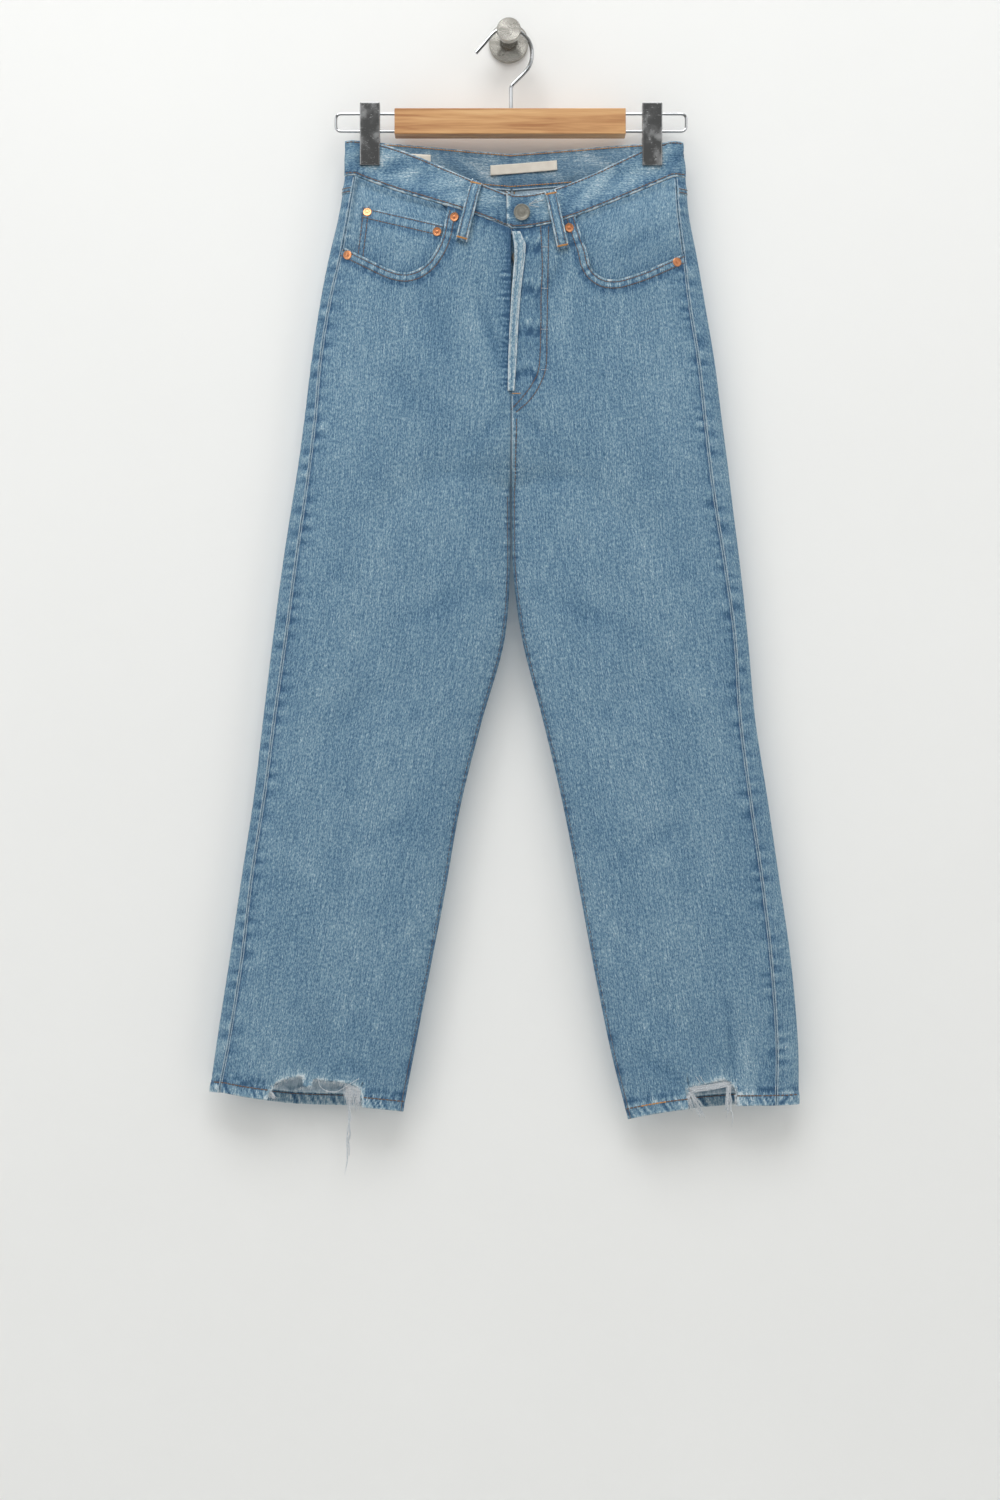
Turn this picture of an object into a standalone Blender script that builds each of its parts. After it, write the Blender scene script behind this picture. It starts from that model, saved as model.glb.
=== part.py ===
"""Straight five-pocket jeans with a button fly, hung by the waist from a clip hanger on a wall hook.

Sizes are in millimetres until a mesh is made, and then in metres. The origin is the middle of the
wall plate's back face. +X is the viewer's right, +Y goes into the wall and +Z is up. The garment is
a hollow of thin walls: every panel is a grid of points on one skin, worked out from the tables below.
"""

import math
from collections import namedtuple

import bmesh
import bpy
import numpy as np

MM = 0.001

# ---------------------------------------------------------------- driving dimensions
RIGHT, LEFT = -1, 1  # the wearer's sides: the wearer's right is at -X
FRONT, BACK = -1, 1  # the faces: the front is towards -Y

HANG_Y = -28.0  # the plane of the hanger's wires and of the middle of the garment
CENTRE_X = 2.4  # the garment's centre line
WAIST_Z = -111.0  # the waistband's top edge at the clips

DENIM = 1.5  # one layer of cloth
BAND = 3.0  # the waistband, a folded strip
SEAM_GAP = 0.3  # between pieces that are sewn or lie together
LAYER = DENIM + SEAM_GAP  # from the middle of one layer to the middle of the next
HEM_RISE = 0.9  # how far the turned-up hem stands proud

CROWN, ROUNDING = 2.6, 0.62  # how full a section is, and how round at its folds
CLIP_X = 148.0  # from the centre line to the middle of each clip
CLIP_HALF = 13.0  # half the width that a clip holds flat
PINCH = (BAND + SEAM_GAP) / 2  # from the hanging plane to the middle of a layer in a clip
EAR = 3.2  # how far the cloth bows out between a clip and the side fold
PINCH_FROM, PINCH_TO = 36.0, 130.0  # the drops between which a clip's hold on the shape fades
SPRING = 0.24  # how fast front and back part below the clips
SLOPE_END = 0.93  # past this share of the width a row runs level round the side fold

# ---------------------------------------------------------------- the skin's tables
# Each row is a level of the garment. inner and outer are distances from the centre line: inner is the
# centre seams' and then the inseam's, and outer is the side fold's. outseam is how far the outseam
# lies in front of that fold. A drop is measured down from WAIST_Z, at the inner edge of the front and
# of the back, and at the side fold.
Outline = namedtuple("Outline", "inner outer outseam front_drop back_drop outer_drop")
OUTLINES = {
    RIGHT: [
        Outline(0.15, 173, 10, 63.9, 12, 0),  # waistband top
        Outline(0.15, 174, 10, 98.7, 50, 37),  # waist seam
        Outline(0.15, 180, 10, 136.5, 97, 78),
        Outline(0.15, 191, 12, 177, 146, 125),  # foot of the pocket openings
        Outline(0.15, 200, 10, 220.5, 195, 172),
        Outline(0.15, 209, 9.5, 269, 252, 232),
        Outline(0.5, 216, 11.5, 315, 306, 290),
        Outline(1.1, 223, 12.3, 364, 362, 342),  # where the inseams begin
        Outline(1.2, 231, 13.3, 407, 405, 392),
        Outline(1.4, 239.5, 13.7, 455, 455, 448),
        Outline(8.0, 249, 13.7, 527, 527, 520),
        Outline(32, 259, 12, 612, 612, 602),
        Outline(54, 269, 11, 700, 700, 686),  # knee
        Outline(70, 282, 10.6, 790, 790, 772),
        Outline(87, 294.5, 13, 878, 878, 857),
        Outline(103, 307.5, 12.8, 962, 962, 941),
        Outline(111.3, 313.6, 10.5, 1005.5, 1005.5, 985),  # top of the hem
        Outline(113.4, 315, 10, 1018, 1018, 997.5),
    ],
    LEFT: [
        Outline(0.15, 179.5, 10, 63.9, 12, 1),
        Outline(0.8, 182.5, 10, 98.7, 50, 38.5),
        Outline(3.6, 186, 11.4, 136.5, 97, 78),
        Outline(0.15, 195, 14, 177, 146, 125),
        Outline(0.15, 203, 16.5, 220.5, 195, 172),
        Outline(0.15, 213, 17, 269, 252, 232),
        Outline(0.5, 220.5, 18, 315, 306, 292),
        Outline(1.1, 227, 19, 364, 362, 342),
        Outline(1.3, 233, 18, 407, 405, 392),
        Outline(2.6, 240, 16, 455, 455, 448),
        Outline(13, 248, 14, 527, 527, 522),
        Outline(34.5, 255.5, 16, 610, 610, 606),
        Outline(55, 268.5, 18.5, 697, 697, 690),
        Outline(71.5, 281, 18.6, 782, 782, 776),
        Outline(87.5, 293, 21, 868, 868, 860),
        Outline(104.5, 300.3, 22.5, 952, 952, 942),
        Outline(119.5, 301.3, 24, 1012, 1012, 996.5),
        Outline(123, 301.4, 24.5, 1026, 1026, 1010.5),
    ],
}
# How much lower a row hangs than a straight line across the panel, a third and two thirds of the way
# out. The rows that aren't here are straight.
Bend = namedtuple("Bend", "side face row third two_thirds")
BENDS = [
    Bend(RIGHT, FRONT, 0, 2.5, -9.2),
    Bend(RIGHT, FRONT, 1, -1, 1.5),
    Bend(LEFT, FRONT, 0, 11.5, -5),
    Bend(LEFT, FRONT, 1, 9.2, 0.8),
    Bend(LEFT, FRONT, 2, 4, 0),
    Bend(RIGHT, FRONT, 15, -1, 1),
    Bend(RIGHT, FRONT, 16, -2, 2.5),
    Bend(RIGHT, FRONT, 17, -2, 2.5),
    Bend(RIGHT, BACK, 15, 0, 3),
    Bend(RIGHT, BACK, 16, -1, 7.5),
    Bend(RIGHT, BACK, 17, -1, 7.5),
    Bend(LEFT, FRONT, 15, -2, -1),
    Bend(LEFT, FRONT, 16, -5, -2.5),
    Bend(LEFT, FRONT, 17, -5, -2.5),
    Bend(LEFT, BACK, 16, -1.5, -1.5),
    Bend(LEFT, BACK, 17, -1.5, -1.5),
]
# front and back are the half depths, and legs says how far the section has closed at its inner edge,
# from one body (0) to two legs (1).
Form = namedtuple("Form", "front back legs")
FORMS = [
    Form(33, 7, 0),
    Form(32, 9, 0),
    Form(30, 13, 0),
    Form(27, 17, 0),
    Form(25, 19, 0),
    Form(24, 20, 0.1),
    Form(22, 20, 0.45),
    Form(20, 19, 1),
    Form(19, 18, 1),
    Form(18.5, 17.5, 1),
    Form(18, 17, 1),
    Form(17, 16, 1),
    Form(16.5, 15.5, 1),
    Form(16, 15, 1),
    Form(15.5, 14.5, 1),
    Form(15, 14, 1),
    Form(15, 14, 1),
    Form(15, 14, 1),
]
WAIST_TOP, WAIST_SEAM, HIP, HEM_TOP, HEM = 0, 1, 4, 16, 17  # row numbers in the tables
ANKLE = 15
YOKE_AT_SIDE, YOKE_AT_BACK = 1.5, 2.33  # the yoke seam's row at the side and at the centre back

# The largest soft folds, each a trough along a line in the cloth.
Fold = namedtuple("Fold", "side face x0 drop0 x1 drop1 width depth")
FOLDS = [
    Fold(RIGHT, FRONT, 55, 105, 20, 240, 15, 2.2),
    Fold(LEFT, FRONT, 60, 120, 26, 250, 15, 2.2),
    Fold(RIGHT, FRONT, 150, 400, 60, 340, 20, 2.0),
    Fold(LEFT, FRONT, 160, 430, 60, 350, 20, 2.2),
    Fold(RIGHT, FRONT, 110, 560, 200, 640, 24, 1.8),
    Fold(LEFT, FRONT, 95, 600, 190, 540, 24, 1.8),
    Fold(LEFT, FRONT, 238, 930, 243, 1000, 11, 3.0),
    Fold(LEFT, FRONT, 150, 900, 225, 985, 16, 2.2),
    Fold(RIGHT, FRONT, 190, 930, 205, 985, 14, 2.2),
    Fold(RIGHT, BACK, 60, 300, 160, 350, 20, 2.6),
    Fold(LEFT, BACK, 70, 310, 170, 345, 20, 2.6),
    Fold(RIGHT, BACK, 60, 400, 190, 430, 22, 2.4),
    Fold(LEFT, BACK, 60, 410, 190, 425, 22, 2.4),
    Fold(RIGHT, BACK, 90, 640, 230, 700, 26, 2.2),
    Fold(LEFT, BACK, 90, 650, 230, 690, 26, 2.2),
]

# The pocket openings, from the waist seam down and out to the outseam.
Spot = namedtuple("Spot", "x drop")
OPENINGS = {
    RIGHT: [
        Spot(65.4, 76),
        Spot(68.5, 90),
        Spot(71.5, 105),
        Spot(77.3, 119),
        Spot(86, 131.5),
        Spot(98, 140),
        Spot(111, 142.7),
        Spot(126, 139),
        Spot(145, 129.5),
        Spot(175, 113.5),
    ],
    LEFT: [
        Spot(65, 80),
        Spot(71, 101),
        Spot(77.5, 119),
        Spot(81, 133.5),
        Spot(87, 143),
        Spot(97, 149),
        Spot(110.5, 149.6),
        Spot(126.5, 145),
        Spot(146.5, 137),
        Spot(180, 120.5),
    ],
}

# The torn hems: the share of the leg's width from the inseam, and the height above the hem's edge.
Tear = namedtuple("Tear", "across height")
TEARS = {
    RIGHT: [
        Tear(0.211, 0),
        Tear(0.230, 15.8),
        Tear(0.261, 21.8),
        Tear(0.300, 22.8),
        Tear(0.343, 23.5),
        Tear(0.382, 24.4),
        Tear(0.432, 24),
        Tear(0.477, 25.5),
        Tear(0.486, 17.3),
        Tear(0.528, 16.7),
        Tear(0.538, 27.4),
        Tear(0.583, 25.5),
        Tear(0.624, 23.2),
        Tear(0.655, 19.3),
        Tear(0.671, 15.6),
        Tear(0.688, 8.6),
        Tear(0.701, 0),
    ],
    LEFT: [
        Tear(0.354, 0),
        Tear(0.352, 10),
        Tear(0.362, 17),
        Tear(0.369, 22),
        Tear(0.405, 22.5),
        Tear(0.448, 23.1),
        Tear(0.490, 24.4),
        Tear(0.530, 25.8),
        Tear(0.568, 26.8),
        Tear(0.596, 26.3),
        Tear(0.624, 20.5),
        Tear(0.639, 12.3),
        Tear(0.633, 0),
    ],
}

# ---------------------------------------------------------------- materials
Finish = namedtuple("Finish", "colour roughness metallic")
FINISHES = {
    "denim": Finish((0.150, 0.255, 0.345), 0.85, 0),
    "denim_inside": Finish((0.30, 0.37, 0.43), 0.9, 0),
    "loose_thread": Finish((0.70, 0.72, 0.74), 0.9, 0),
    "woven_label": Finish((0.68, 0.61, 0.51), 0.8, 0),
    "copper": Finish((0.62, 0.26, 0.12), 0.32, 1),
    "old_nickel": Finish((0.42, 0.40, 0.34), 0.42, 1),
    "chrome": Finish((0.55, 0.56, 0.57), 0.15, 1),
    "steel": Finish((0.52, 0.50, 0.46), 0.28, 1),
    "wood": Finish((0.58, 0.33, 0.15), 0.5, 0),
}


def material(slot):
    found = bpy.data.materials.get(slot)
    if found:
        return found
    made = bpy.data.materials.new(slot)
    made.use_nodes = True
    shader = made.node_tree.nodes["Principled BSDF"]
    finish = FINISHES[slot]
    shader.inputs["Base Color"].default_value = (*finish.colour, 1)
    shader.inputs["Roughness"].default_value = finish.roughness
    shader.inputs["Metallic"].default_value = finish.metallic
    return made


def add_object(name, mesh, slot):
    made = bpy.data.objects.new(name, mesh)
    mesh.materials.append(material(slot))
    bpy.context.scene.collection.objects.link(made)
    return made


# ---------------------------------------------------------------- the skin
def smooth(values, place):
    """The value at a place between a table's rows, on a cubic through them."""
    row = min(int(place), len(values) - 2)
    share = place - row
    first, last = values[row], values[row + 1]
    before = values[row - 1] if row > 0 else 2 * first - last
    after = values[row + 2] if row + 2 < len(values) else 2 * last - first
    rise_in, rise_out = (last - before) / 2, (after - first) / 2
    square, cube = share**2, share**3
    return (
        first * (2 * cube - 3 * square + 1)
        + rise_in * (cube - 2 * square + share)
        + last * (3 * square - 2 * cube)
        + rise_out * (cube - square)
    )


def column(rows, field):
    return [getattr(row, field) for row in rows]


COLUMNS = {
    (side, field): column(OUTLINES[side], field)
    for side in (RIGHT, LEFT)
    for field in Outline._fields
}
for _side in (RIGHT, LEFT):
    for _face in (FRONT, BACK):
        for _field in ("third", "two_thirds"):
            _bends = {bend.row: getattr(bend, _field) for bend in BENDS if bend[:2] == (_side, _face)}
            COLUMNS[_side, _face, _field] = [_bends.get(row, 0) for row in range(len(FORMS))]
FORM_COLUMNS = {field: column(FORMS, field) for field in Form._fields}


def clip_depth(x, outer, half_depth, drop):
    """The half depth of a section at the waist, where a clip pinches front and back together."""
    held_from, held_to = CLIP_X - CLIP_HALF, CLIP_X + CLIP_HALF
    held = PINCH + SPRING * max(drop - PINCH_FROM, 0)
    if x < held_from:
        return held + (half_depth - held) * math.cos(math.pi / 2 * x / held_from) ** 2
    if x < held_to:
        return held
    past = min((x - held_to) / (outer - held_to), 1)
    return (held + EAR * math.sin(math.pi * past)) * math.sqrt(1 - past**3)


def fold_depth(side, face, x, drop):
    """How far the soft folds push the cloth in at a point."""
    total = 0.0
    for fold in FOLDS:
        if (fold.side, fold.face) != (side, face):
            continue
        along_x, along_drop = fold.x1 - fold.x0, fold.drop1 - fold.drop0
        length = along_x**2 + along_drop**2
        share = ((x - fold.x0) * along_x + (drop - fold.drop0) * along_drop) / length
        near = min(max(share, 0), 1)
        off_x = x - fold.x0 - near * along_x
        off_drop = drop - fold.drop0 - near * along_drop
        far = (off_x**2 + off_drop**2) / fold.width**2
        if far < 9:
            total += fold.depth * math.exp(-far) * (0.5 + 0.5 * math.sin(math.pi * near))
    return total


def skin(side, face, place, across, inset=0.0):
    """A point in the middle of the cloth. across runs from the inner edge, 0, to the side fold, 1."""
    inner = smooth(COLUMNS[side, "inner"], place)
    outer = smooth(COLUMNS[side, "outer"], place)
    inner_drop = smooth(COLUMNS[side, "front_drop" if face == FRONT else "back_drop"], place)
    outer_drop = smooth(COLUMNS[side, "outer_drop"], place)
    half_depth = smooth(FORM_COLUMNS["front" if face == FRONT else "back"], place)
    legs = min(max(smooth(FORM_COLUMNS["legs"], place), 0), 1)
    x = inner + (outer - inner) * across
    slope = min(abs(across) / SLOPE_END, 1)
    drop = inner_drop + (outer_drop - inner_drop) * slope
    bent = smooth(COLUMNS[side, face, "third"], place) * slope * (1 - slope) ** 2
    bent += smooth(COLUMNS[side, face, "two_thirds"], place) * slope**2 * (1 - slope)
    drop += math.copysign(6.75, across) * bent
    faded = min(max((drop - PINCH_FROM) / (PINCH_TO - PINCH_FROM), 0), 1)
    pinch = 1 - faded * faded * (3 - 2 * faded)
    turn = min(abs(across * (1 + legs) - legs), 1)
    depth = half_depth * (1 - turn**CROWN) ** ROUNDING
    depth += (clip_depth(abs(x), outer, half_depth, drop) - depth) * pinch
    depth -= fold_depth(side, face, x, drop) * min(depth / half_depth, 1)
    depth = max(depth, LAYER / 2 if across < 0.5 else 0)
    point = np.array([CENTRE_X + side * x, HANG_Y + face * depth, WAIST_Z - drop])
    if inset:
        point -= inset * outward(side, face, place, across)
    return point


def outward(side, face, place, across):
    """The direction out of the garment at a point of the skin."""
    step = 1e-4
    last = len(FORMS) - 1
    low, high = max(across - step, -0.2), min(across + step, 1)
    up, down = max(place - 0.02, 0), min(place + 0.02, last)
    along = skin(side, face, place, high) - skin(side, face, place, low)
    if across > 1 - 2 * step:
        return np.array([side, 0.0, 0.0])
    downward = skin(side, face, down, across) - skin(side, face, up, across)
    normal = np.cross(along, downward) * side * face
    return normal / np.linalg.norm(normal)


PAST_CENTRE = -0.25  # the furthest that a piece goes on past the centre line, as a share across


def find(side, face, x, drop):
    """The place and the share across of a point given by its distance out and its drop."""
    low, high = 0.0, float(len(FORMS) - 1)
    for _ in range(40):
        place = (low + high) / 2
        inner = smooth(COLUMNS[side, "inner"], place)
        outer = smooth(COLUMNS[side, "outer"], place)
        across = min(max((x - inner) / (outer - inner), PAST_CENTRE), 1)
        if WAIST_Z - skin(side, face, place, across)[2] < drop:
            low = place
        else:
            high = place
    return place, across


# ---------------------------------------------------------------- cloth walls
def wall(name, points, outs, thickness, slot, rise=None, centre_gap=0.0):
    """A closed wall of cloth about a grid of points in its middle, with their outward directions.

    rise is how much further out the outer face stands at each point. centre_gap keeps a piece that
    ends at the centre seam on its own side of it.
    """
    points, outs = np.array(points, float), np.array(outs, float)
    rows, columns = points.shape[:2]
    rise = np.zeros((rows, columns)) if rise is None else np.array(rise, float)
    outer = points + outs * (thickness / 2 + rise)[..., None]
    inner = points - outs * thickness / 2
    if centre_gap:
        for sheet in (outer, inner):
            out = (sheet[..., 0] - CENTRE_X) * centre_gap
            sheet[..., 0] = CENTRE_X + centre_gap * np.maximum(out, SEAM_GAP / 2)
    corners = np.concatenate([outer.reshape(-1, 3), inner.reshape(-1, 3)]) * MM
    count = rows * columns
    rim = (
        [(0, j) for j in range(columns)]
        + [(i, columns - 1) for i in range(1, rows)]
        + [(rows - 1, j) for j in range(columns - 2, -1, -1)]
        + [(i, 0) for i in range(rows - 2, 0, -1)]
    )
    faces = []
    for i in range(rows - 1):
        for j in range(columns - 1):
            a, b = i * columns + j, (i + 1) * columns + j
            faces.append((a, a + 1, b + 1, b))
            faces.append((a + count, b + count, b + 1 + count, a + 1 + count))
    for k, (i, j) in enumerate(rim):
        m, n = rim[(k + 1) % len(rim)]
        a, b = i * columns + j, m * columns + n
        faces.append((a, a + count, b + count, b))
    mesh = bpy.data.meshes.new(name)
    mesh.from_pydata([tuple(corner) for corner in corners], [], faces)
    tidy(mesh)
    return add_object(name, mesh, slot)


def tidy(mesh):
    """Turns every face outwards."""
    shape = bmesh.new()
    shape.from_mesh(mesh)
    bmesh.ops.recalc_face_normals(shape, faces=shape.faces)
    shape.to_mesh(mesh)
    shape.free()


def skin_wall(name, grid, thickness, slot, inset=0.0, rise=None, centre_gap=0.0):
    """A wall on the skin. Each entry of the grid is (side, face, place, across) or has its own inset fifth."""
    points, outs = [], []
    for row in grid:
        points.append([])
        outs.append([])
        for spot in row:
            own = inset + (spot[4] if len(spot) > 4 else 0.0)
            direction = outward(*spot[:4])
            points[-1].append(skin(*spot[:4]) - own * direction)
            outs[-1].append(direction)
    return wall(name, points, outs, thickness, slot, rise, centre_gap)


def along_line(stops, count):
    """Points evenly spaced along a line through stops, each an (x, y) pair."""
    stops = np.array(stops, float)
    lengths = np.concatenate([[0], np.cumsum(np.linalg.norm(np.diff(stops, axis=0), axis=1))])
    wanted = np.linspace(0, lengths[-1], count)
    return np.stack([np.interp(wanted, lengths, stops[:, k]) for k in (0, 1)], axis=1)


def seam_across(side, place):
    """The share across at which the outseam lies on the front."""
    width = smooth(COLUMNS[side, "outer"], place) - smooth(COLUMNS[side, "inner"], place)
    return 1 - smooth(COLUMNS[side, "outseam"], place) / width


def above_hem(side, face, across, height):
    """The place at a height above the hem's lower edge."""
    hem_z = skin(side, face, HEM, across)[2]
    low, high = float(ANKLE) - 1, float(HEM)
    for _ in range(30):
        place = (low + high) / 2
        if skin(side, face, place, across)[2] - hem_z > height:
            low = place
        else:
            high = place
    return place if height else float(HEM)


def top_of_front(side, count):
    """The front panel's top edge as (place, across): along the waist seam, then down the pocket opening."""
    opening = OPENINGS[side]
    on_seam = 7
    width = smooth(COLUMNS[side, "outer"], WAIST_SEAM)
    start = opening[0].x / width
    seam_line = [
        (WAIST_SEAM + SEAM_SHARE, start * k / (on_seam - 1)) for k in range(on_seam)
    ]
    curve = along_line([(spot.x, spot.drop) for spot in opening], count - on_seam + 1)[1:]
    edge = [find(side, FRONT, x, drop) for x, drop in curve]
    last = edge[-1][0]
    edge[-1] = (last, seam_across(side, last) - gap_across(side, last))
    return seam_line + edge


def gap_across(side, place):
    """Half a seam's gap as a share across."""
    width = smooth(COLUMNS[side, "outer"], place) - smooth(COLUMNS[side, "inner"], place)
    return SEAM_GAP / 2 / width


def foot_of_front(side, count):
    """The front panel's lower edge as (place, across), with its tear."""
    tear = TEARS[side]
    end = seam_across(side, HEM) - gap_across(side, HEM)
    whole = tear[0].across + end - tear[-1].across
    before = max(2, round((count - len(tear)) * tear[0].across / whole))
    after = count - len(tear) - before
    inner_part = [(HEM, tear[0].across * k / before) for k in range(before)]
    torn = [(above_hem(side, FRONT, across, height), across) for across, height in tear]
    start = tear[-1].across
    outer_part = [(HEM, start + (end - start) * k / after) for k in range(1, after + 1)]
    return inner_part + torn + outer_part


# ---------------------------------------------------------------- panels
PANEL_COLUMNS = 26
HIP_ROWS = 5  # rows between the top edge and the hip
LEG_ROWS = [HIP + 0.75 * k for k in range(15)]
HEM_STEP = 0.03  # the hem's ridge rises over this share of a row
SEAM_SHARE = 0.0048  # half a seam's gap as a share of a row near the waist


def front_panel(side):
    top, foot = top_of_front(side, PANEL_COLUMNS), foot_of_front(side, PANEL_COLUMNS)
    even = [k / (PANEL_COLUMNS - 1) for k in range(PANEL_COLUMNS)]
    grid, rise = [], []
    for i in range(HIP_ROWS):
        share = i / HIP_ROWS
        row = []
        for j, (place, across) in enumerate(top):
            at = place + (HIP - place) * share
            spread = seam_across(side, at) - gap_across(side, at)
            row.append((side, FRONT, at, across + (even[j] * spread - across) * share))
        row[-1] = (side, FRONT, row[-1][2], seam_across(side, row[-1][2]) - gap_across(side, row[-1][2]))
        grid.append(row)
        rise.append([0.0] * PANEL_COLUMNS)
    for at in LEG_ROWS:
        spread = seam_across(side, at) - gap_across(side, at)
        grid.append([(side, FRONT, at, share * spread) for share in even])
        rise.append([0.0] * PANEL_COLUMNS)
    start = grid[-1][0][2]
    for fixed, height in ((0.4, 0), (HEM_TOP - HEM_STEP, 0), (HEM_TOP, HEM_RISE), (HEM, HEM_RISE)):
        row, lift = [], []
        for j, (place, across) in enumerate(foot):
            share = {0.4: 0.4, HEM: 1.0}.get(fixed, 0.8 if height == 0 else 0.87)
            at = start + (place - start) * share
            if fixed > 1 and fixed < HEM and place > HEM_TOP:
                at = fixed
                share = (at - start) / (place - start)
            out = even[j] * (seam_across(side, at) - gap_across(side, at))
            row.append((side, FRONT, at, out + (across - out) * min(share * 1.15, 1)))
            lift.append(height if at >= HEM_TOP - 1e-6 else 0.0)
        row[-1] = (side, FRONT, row[-1][2], seam_across(side, row[-1][2]) - gap_across(side, row[-1][2]))
        grid.append(row)
        rise.append(lift)
    name = "front_panel_" + ("right" if side == RIGHT else "left")
    return skin_wall(name, grid, DENIM, "denim", rise=rise, centre_gap=side)


# The back panels' and yokes' columns: the face and the share across, from the outseam round the side
# fold to the inner edge.
ROUND_FOLD = [(FRONT, None), (FRONT, 0.962), (FRONT, 0.985), (FRONT, 0.996), (FRONT, 1.0)]
ROUND_FOLD += [(BACK, 0.996), (BACK, 0.985), (BACK, 0.955), (BACK, 0.90), (BACK, 0.80), (BACK, 0.68)]
ROUND_FOLD += [(BACK, 0.55), (BACK, 0.42), (BACK, 0.30), (BACK, 0.19), (BACK, 0.10), (BACK, 0.04)]
ROUND_FOLD += [(BACK, 0.012), (BACK, 0.0)]


def yoke_place(face, across):
    """The row of the yoke seam, which rises towards the side."""
    if face == FRONT:
        return YOKE_AT_SIDE
    return YOKE_AT_BACK + (YOKE_AT_SIDE - YOKE_AT_BACK) * across


def round_fold_row(side, row_of):
    """A row of the back from the outseam to the inner edge. row_of gives its place at a face and share."""
    row = []
    for face, across in ROUND_FOLD:
        place = row_of(face, across if across is not None else 1.0)
        if across is None:
            across = seam_across(side, place) + gap_across(side, place)
        row.append((side, face, place, across))
    return row


def back_panel(side):
    grid = []
    for share in (0.0, 0.27, 0.52, 0.76):
        grid.append(
            round_fold_row(
                side,
                lambda face, across: yoke_place(face, across) * (1 - share)
                + HIP * share
                + SEAM_SHARE * (1 - share),
            )
        )
    for at in LEG_ROWS + [(LEG_ROWS[-1] * 0.6 + HEM * 0.4), HEM_TOP - HEM_STEP, HEM_TOP, HEM]:
        grid.append(round_fold_row(side, lambda face, across: at))
    rise = [[HEM_RISE if i >= len(grid) - 2 else 0.0] * len(ROUND_FOLD) for i in range(len(grid))]
    name = "back_panel_" + ("right" if side == RIGHT else "left")
    return skin_wall(name, grid, DENIM, "denim", rise=rise, centre_gap=side)


def yoke(side):
    grid = []
    for share in (0.0, 0.5, 1.0):
        grid.append(
            round_fold_row(
                side,
                lambda face, across: (WAIST_SEAM + SEAM_SHARE) * (1 - share)
                + (yoke_place(face, across) - SEAM_SHARE) * share,
            )
        )
    name = "yoke_" + ("right" if side == RIGHT else "left")
    return skin_wall(name, grid, DENIM, "denim", centre_gap=side)


# ---------------------------------------------------------------- waistband and loops
BAND_END = -5.0  # the upper end passes the centre line by this much
BAND_UNDER = 30.0  # how far the lower end goes on under it
TO_CLIP = [0.12, 0.25, 0.4, 0.55, 0.7, 0.82, 0.92]  # shares of the way to a clip
PAST_CLIP = [0.2, 0.45, 0.7, 0.88, 0.97]  # shares of the way from a clip to the side fold


def across_band(side):
    """The shares across at which the waistband has its points, from the centre to the side fold."""
    outer = OUTLINES[side][WAIST_TOP].outer
    held_from, held_to = CLIP_X - CLIP_HALF, CLIP_X + CLIP_HALF
    stops = [share * held_from for share in TO_CLIP]
    stops += [held_from, CLIP_X, held_to - 2]
    stops += [held_to + share * (outer - held_to) for share in PAST_CLIP]
    return [stop / outer for stop in stops]


def waistband():
    """One folded strip right round the waist. Its left end lies over its right end at the fly."""
    outer_left = OUTLINES[LEFT][WAIST_TOP].outer
    steps = {side: across_band(side) for side in (RIGHT, LEFT)}
    path = [(LEFT, FRONT, BAND_END / outer_left, 0.0)]
    path += [(LEFT, FRONT, across, 0.0) for across in [0.04] + steps[LEFT]]
    path += [(LEFT, FRONT, 1.0, 0.0)]
    path += [(LEFT, BACK, across, 0.0) for across in reversed(steps[LEFT])]
    path += [(LEFT, BACK, 0.0, 0.0)]
    path += [(RIGHT, BACK, across, 0.0) for across in steps[RIGHT]]
    path += [(RIGHT, FRONT, 1.0, 0.0)]
    path += [(RIGHT, FRONT, across, 0.0) for across in reversed(steps[RIGHT][1:])]
    outer_right = OUTLINES[RIGHT][WAIST_TOP].outer
    step_in = BAND + SEAM_GAP
    path += [(RIGHT, FRONT, 20 / outer_right, 0.0), (RIGHT, FRONT, 13 / outer_right, step_in * 0.5)]
    path += [(RIGHT, FRONT, 7 / outer_right, step_in)]
    path += [(LEFT, FRONT, x / outer_left, step_in) for x in (2, 16, BAND_UNDER)]
    grid = []
    for share in (0.0, 0.38, 0.76, 1.0):
        row = []
        for side, face, across, inset in path:
            under = 0.96 if inset else 1  # the end that lies under is a little narrower
            row.append((side, face, share * under * (WAIST_SEAM - SEAM_SHARE), across, inset))
        grid.append(row)
    return skin_wall("waistband", grid, BAND, "denim")


LOOP_WIDTH, LOOP_THICK, LOOP_BOW = 12.0, 2.0, 2.2
Loop = namedtuple("Loop", "name side face top_x top_drop foot_x foot_drop")
LOOPS = [
    Loop("front_right", RIGHT, FRONT, 34.8, 49, 51.4, 111),
    Loop("front_left", LEFT, FRONT, 39.7, 60, 53.5, 119),
    Loop("side_right", RIGHT, BACK, 112, 4.5, 112, 58),
    Loop("side_left", LEFT, BACK, 112, 4.5, 112, 58),
    Loop("centre_back", RIGHT, BACK, 0.5, 14.5, 0.5, 66),
]


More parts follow.
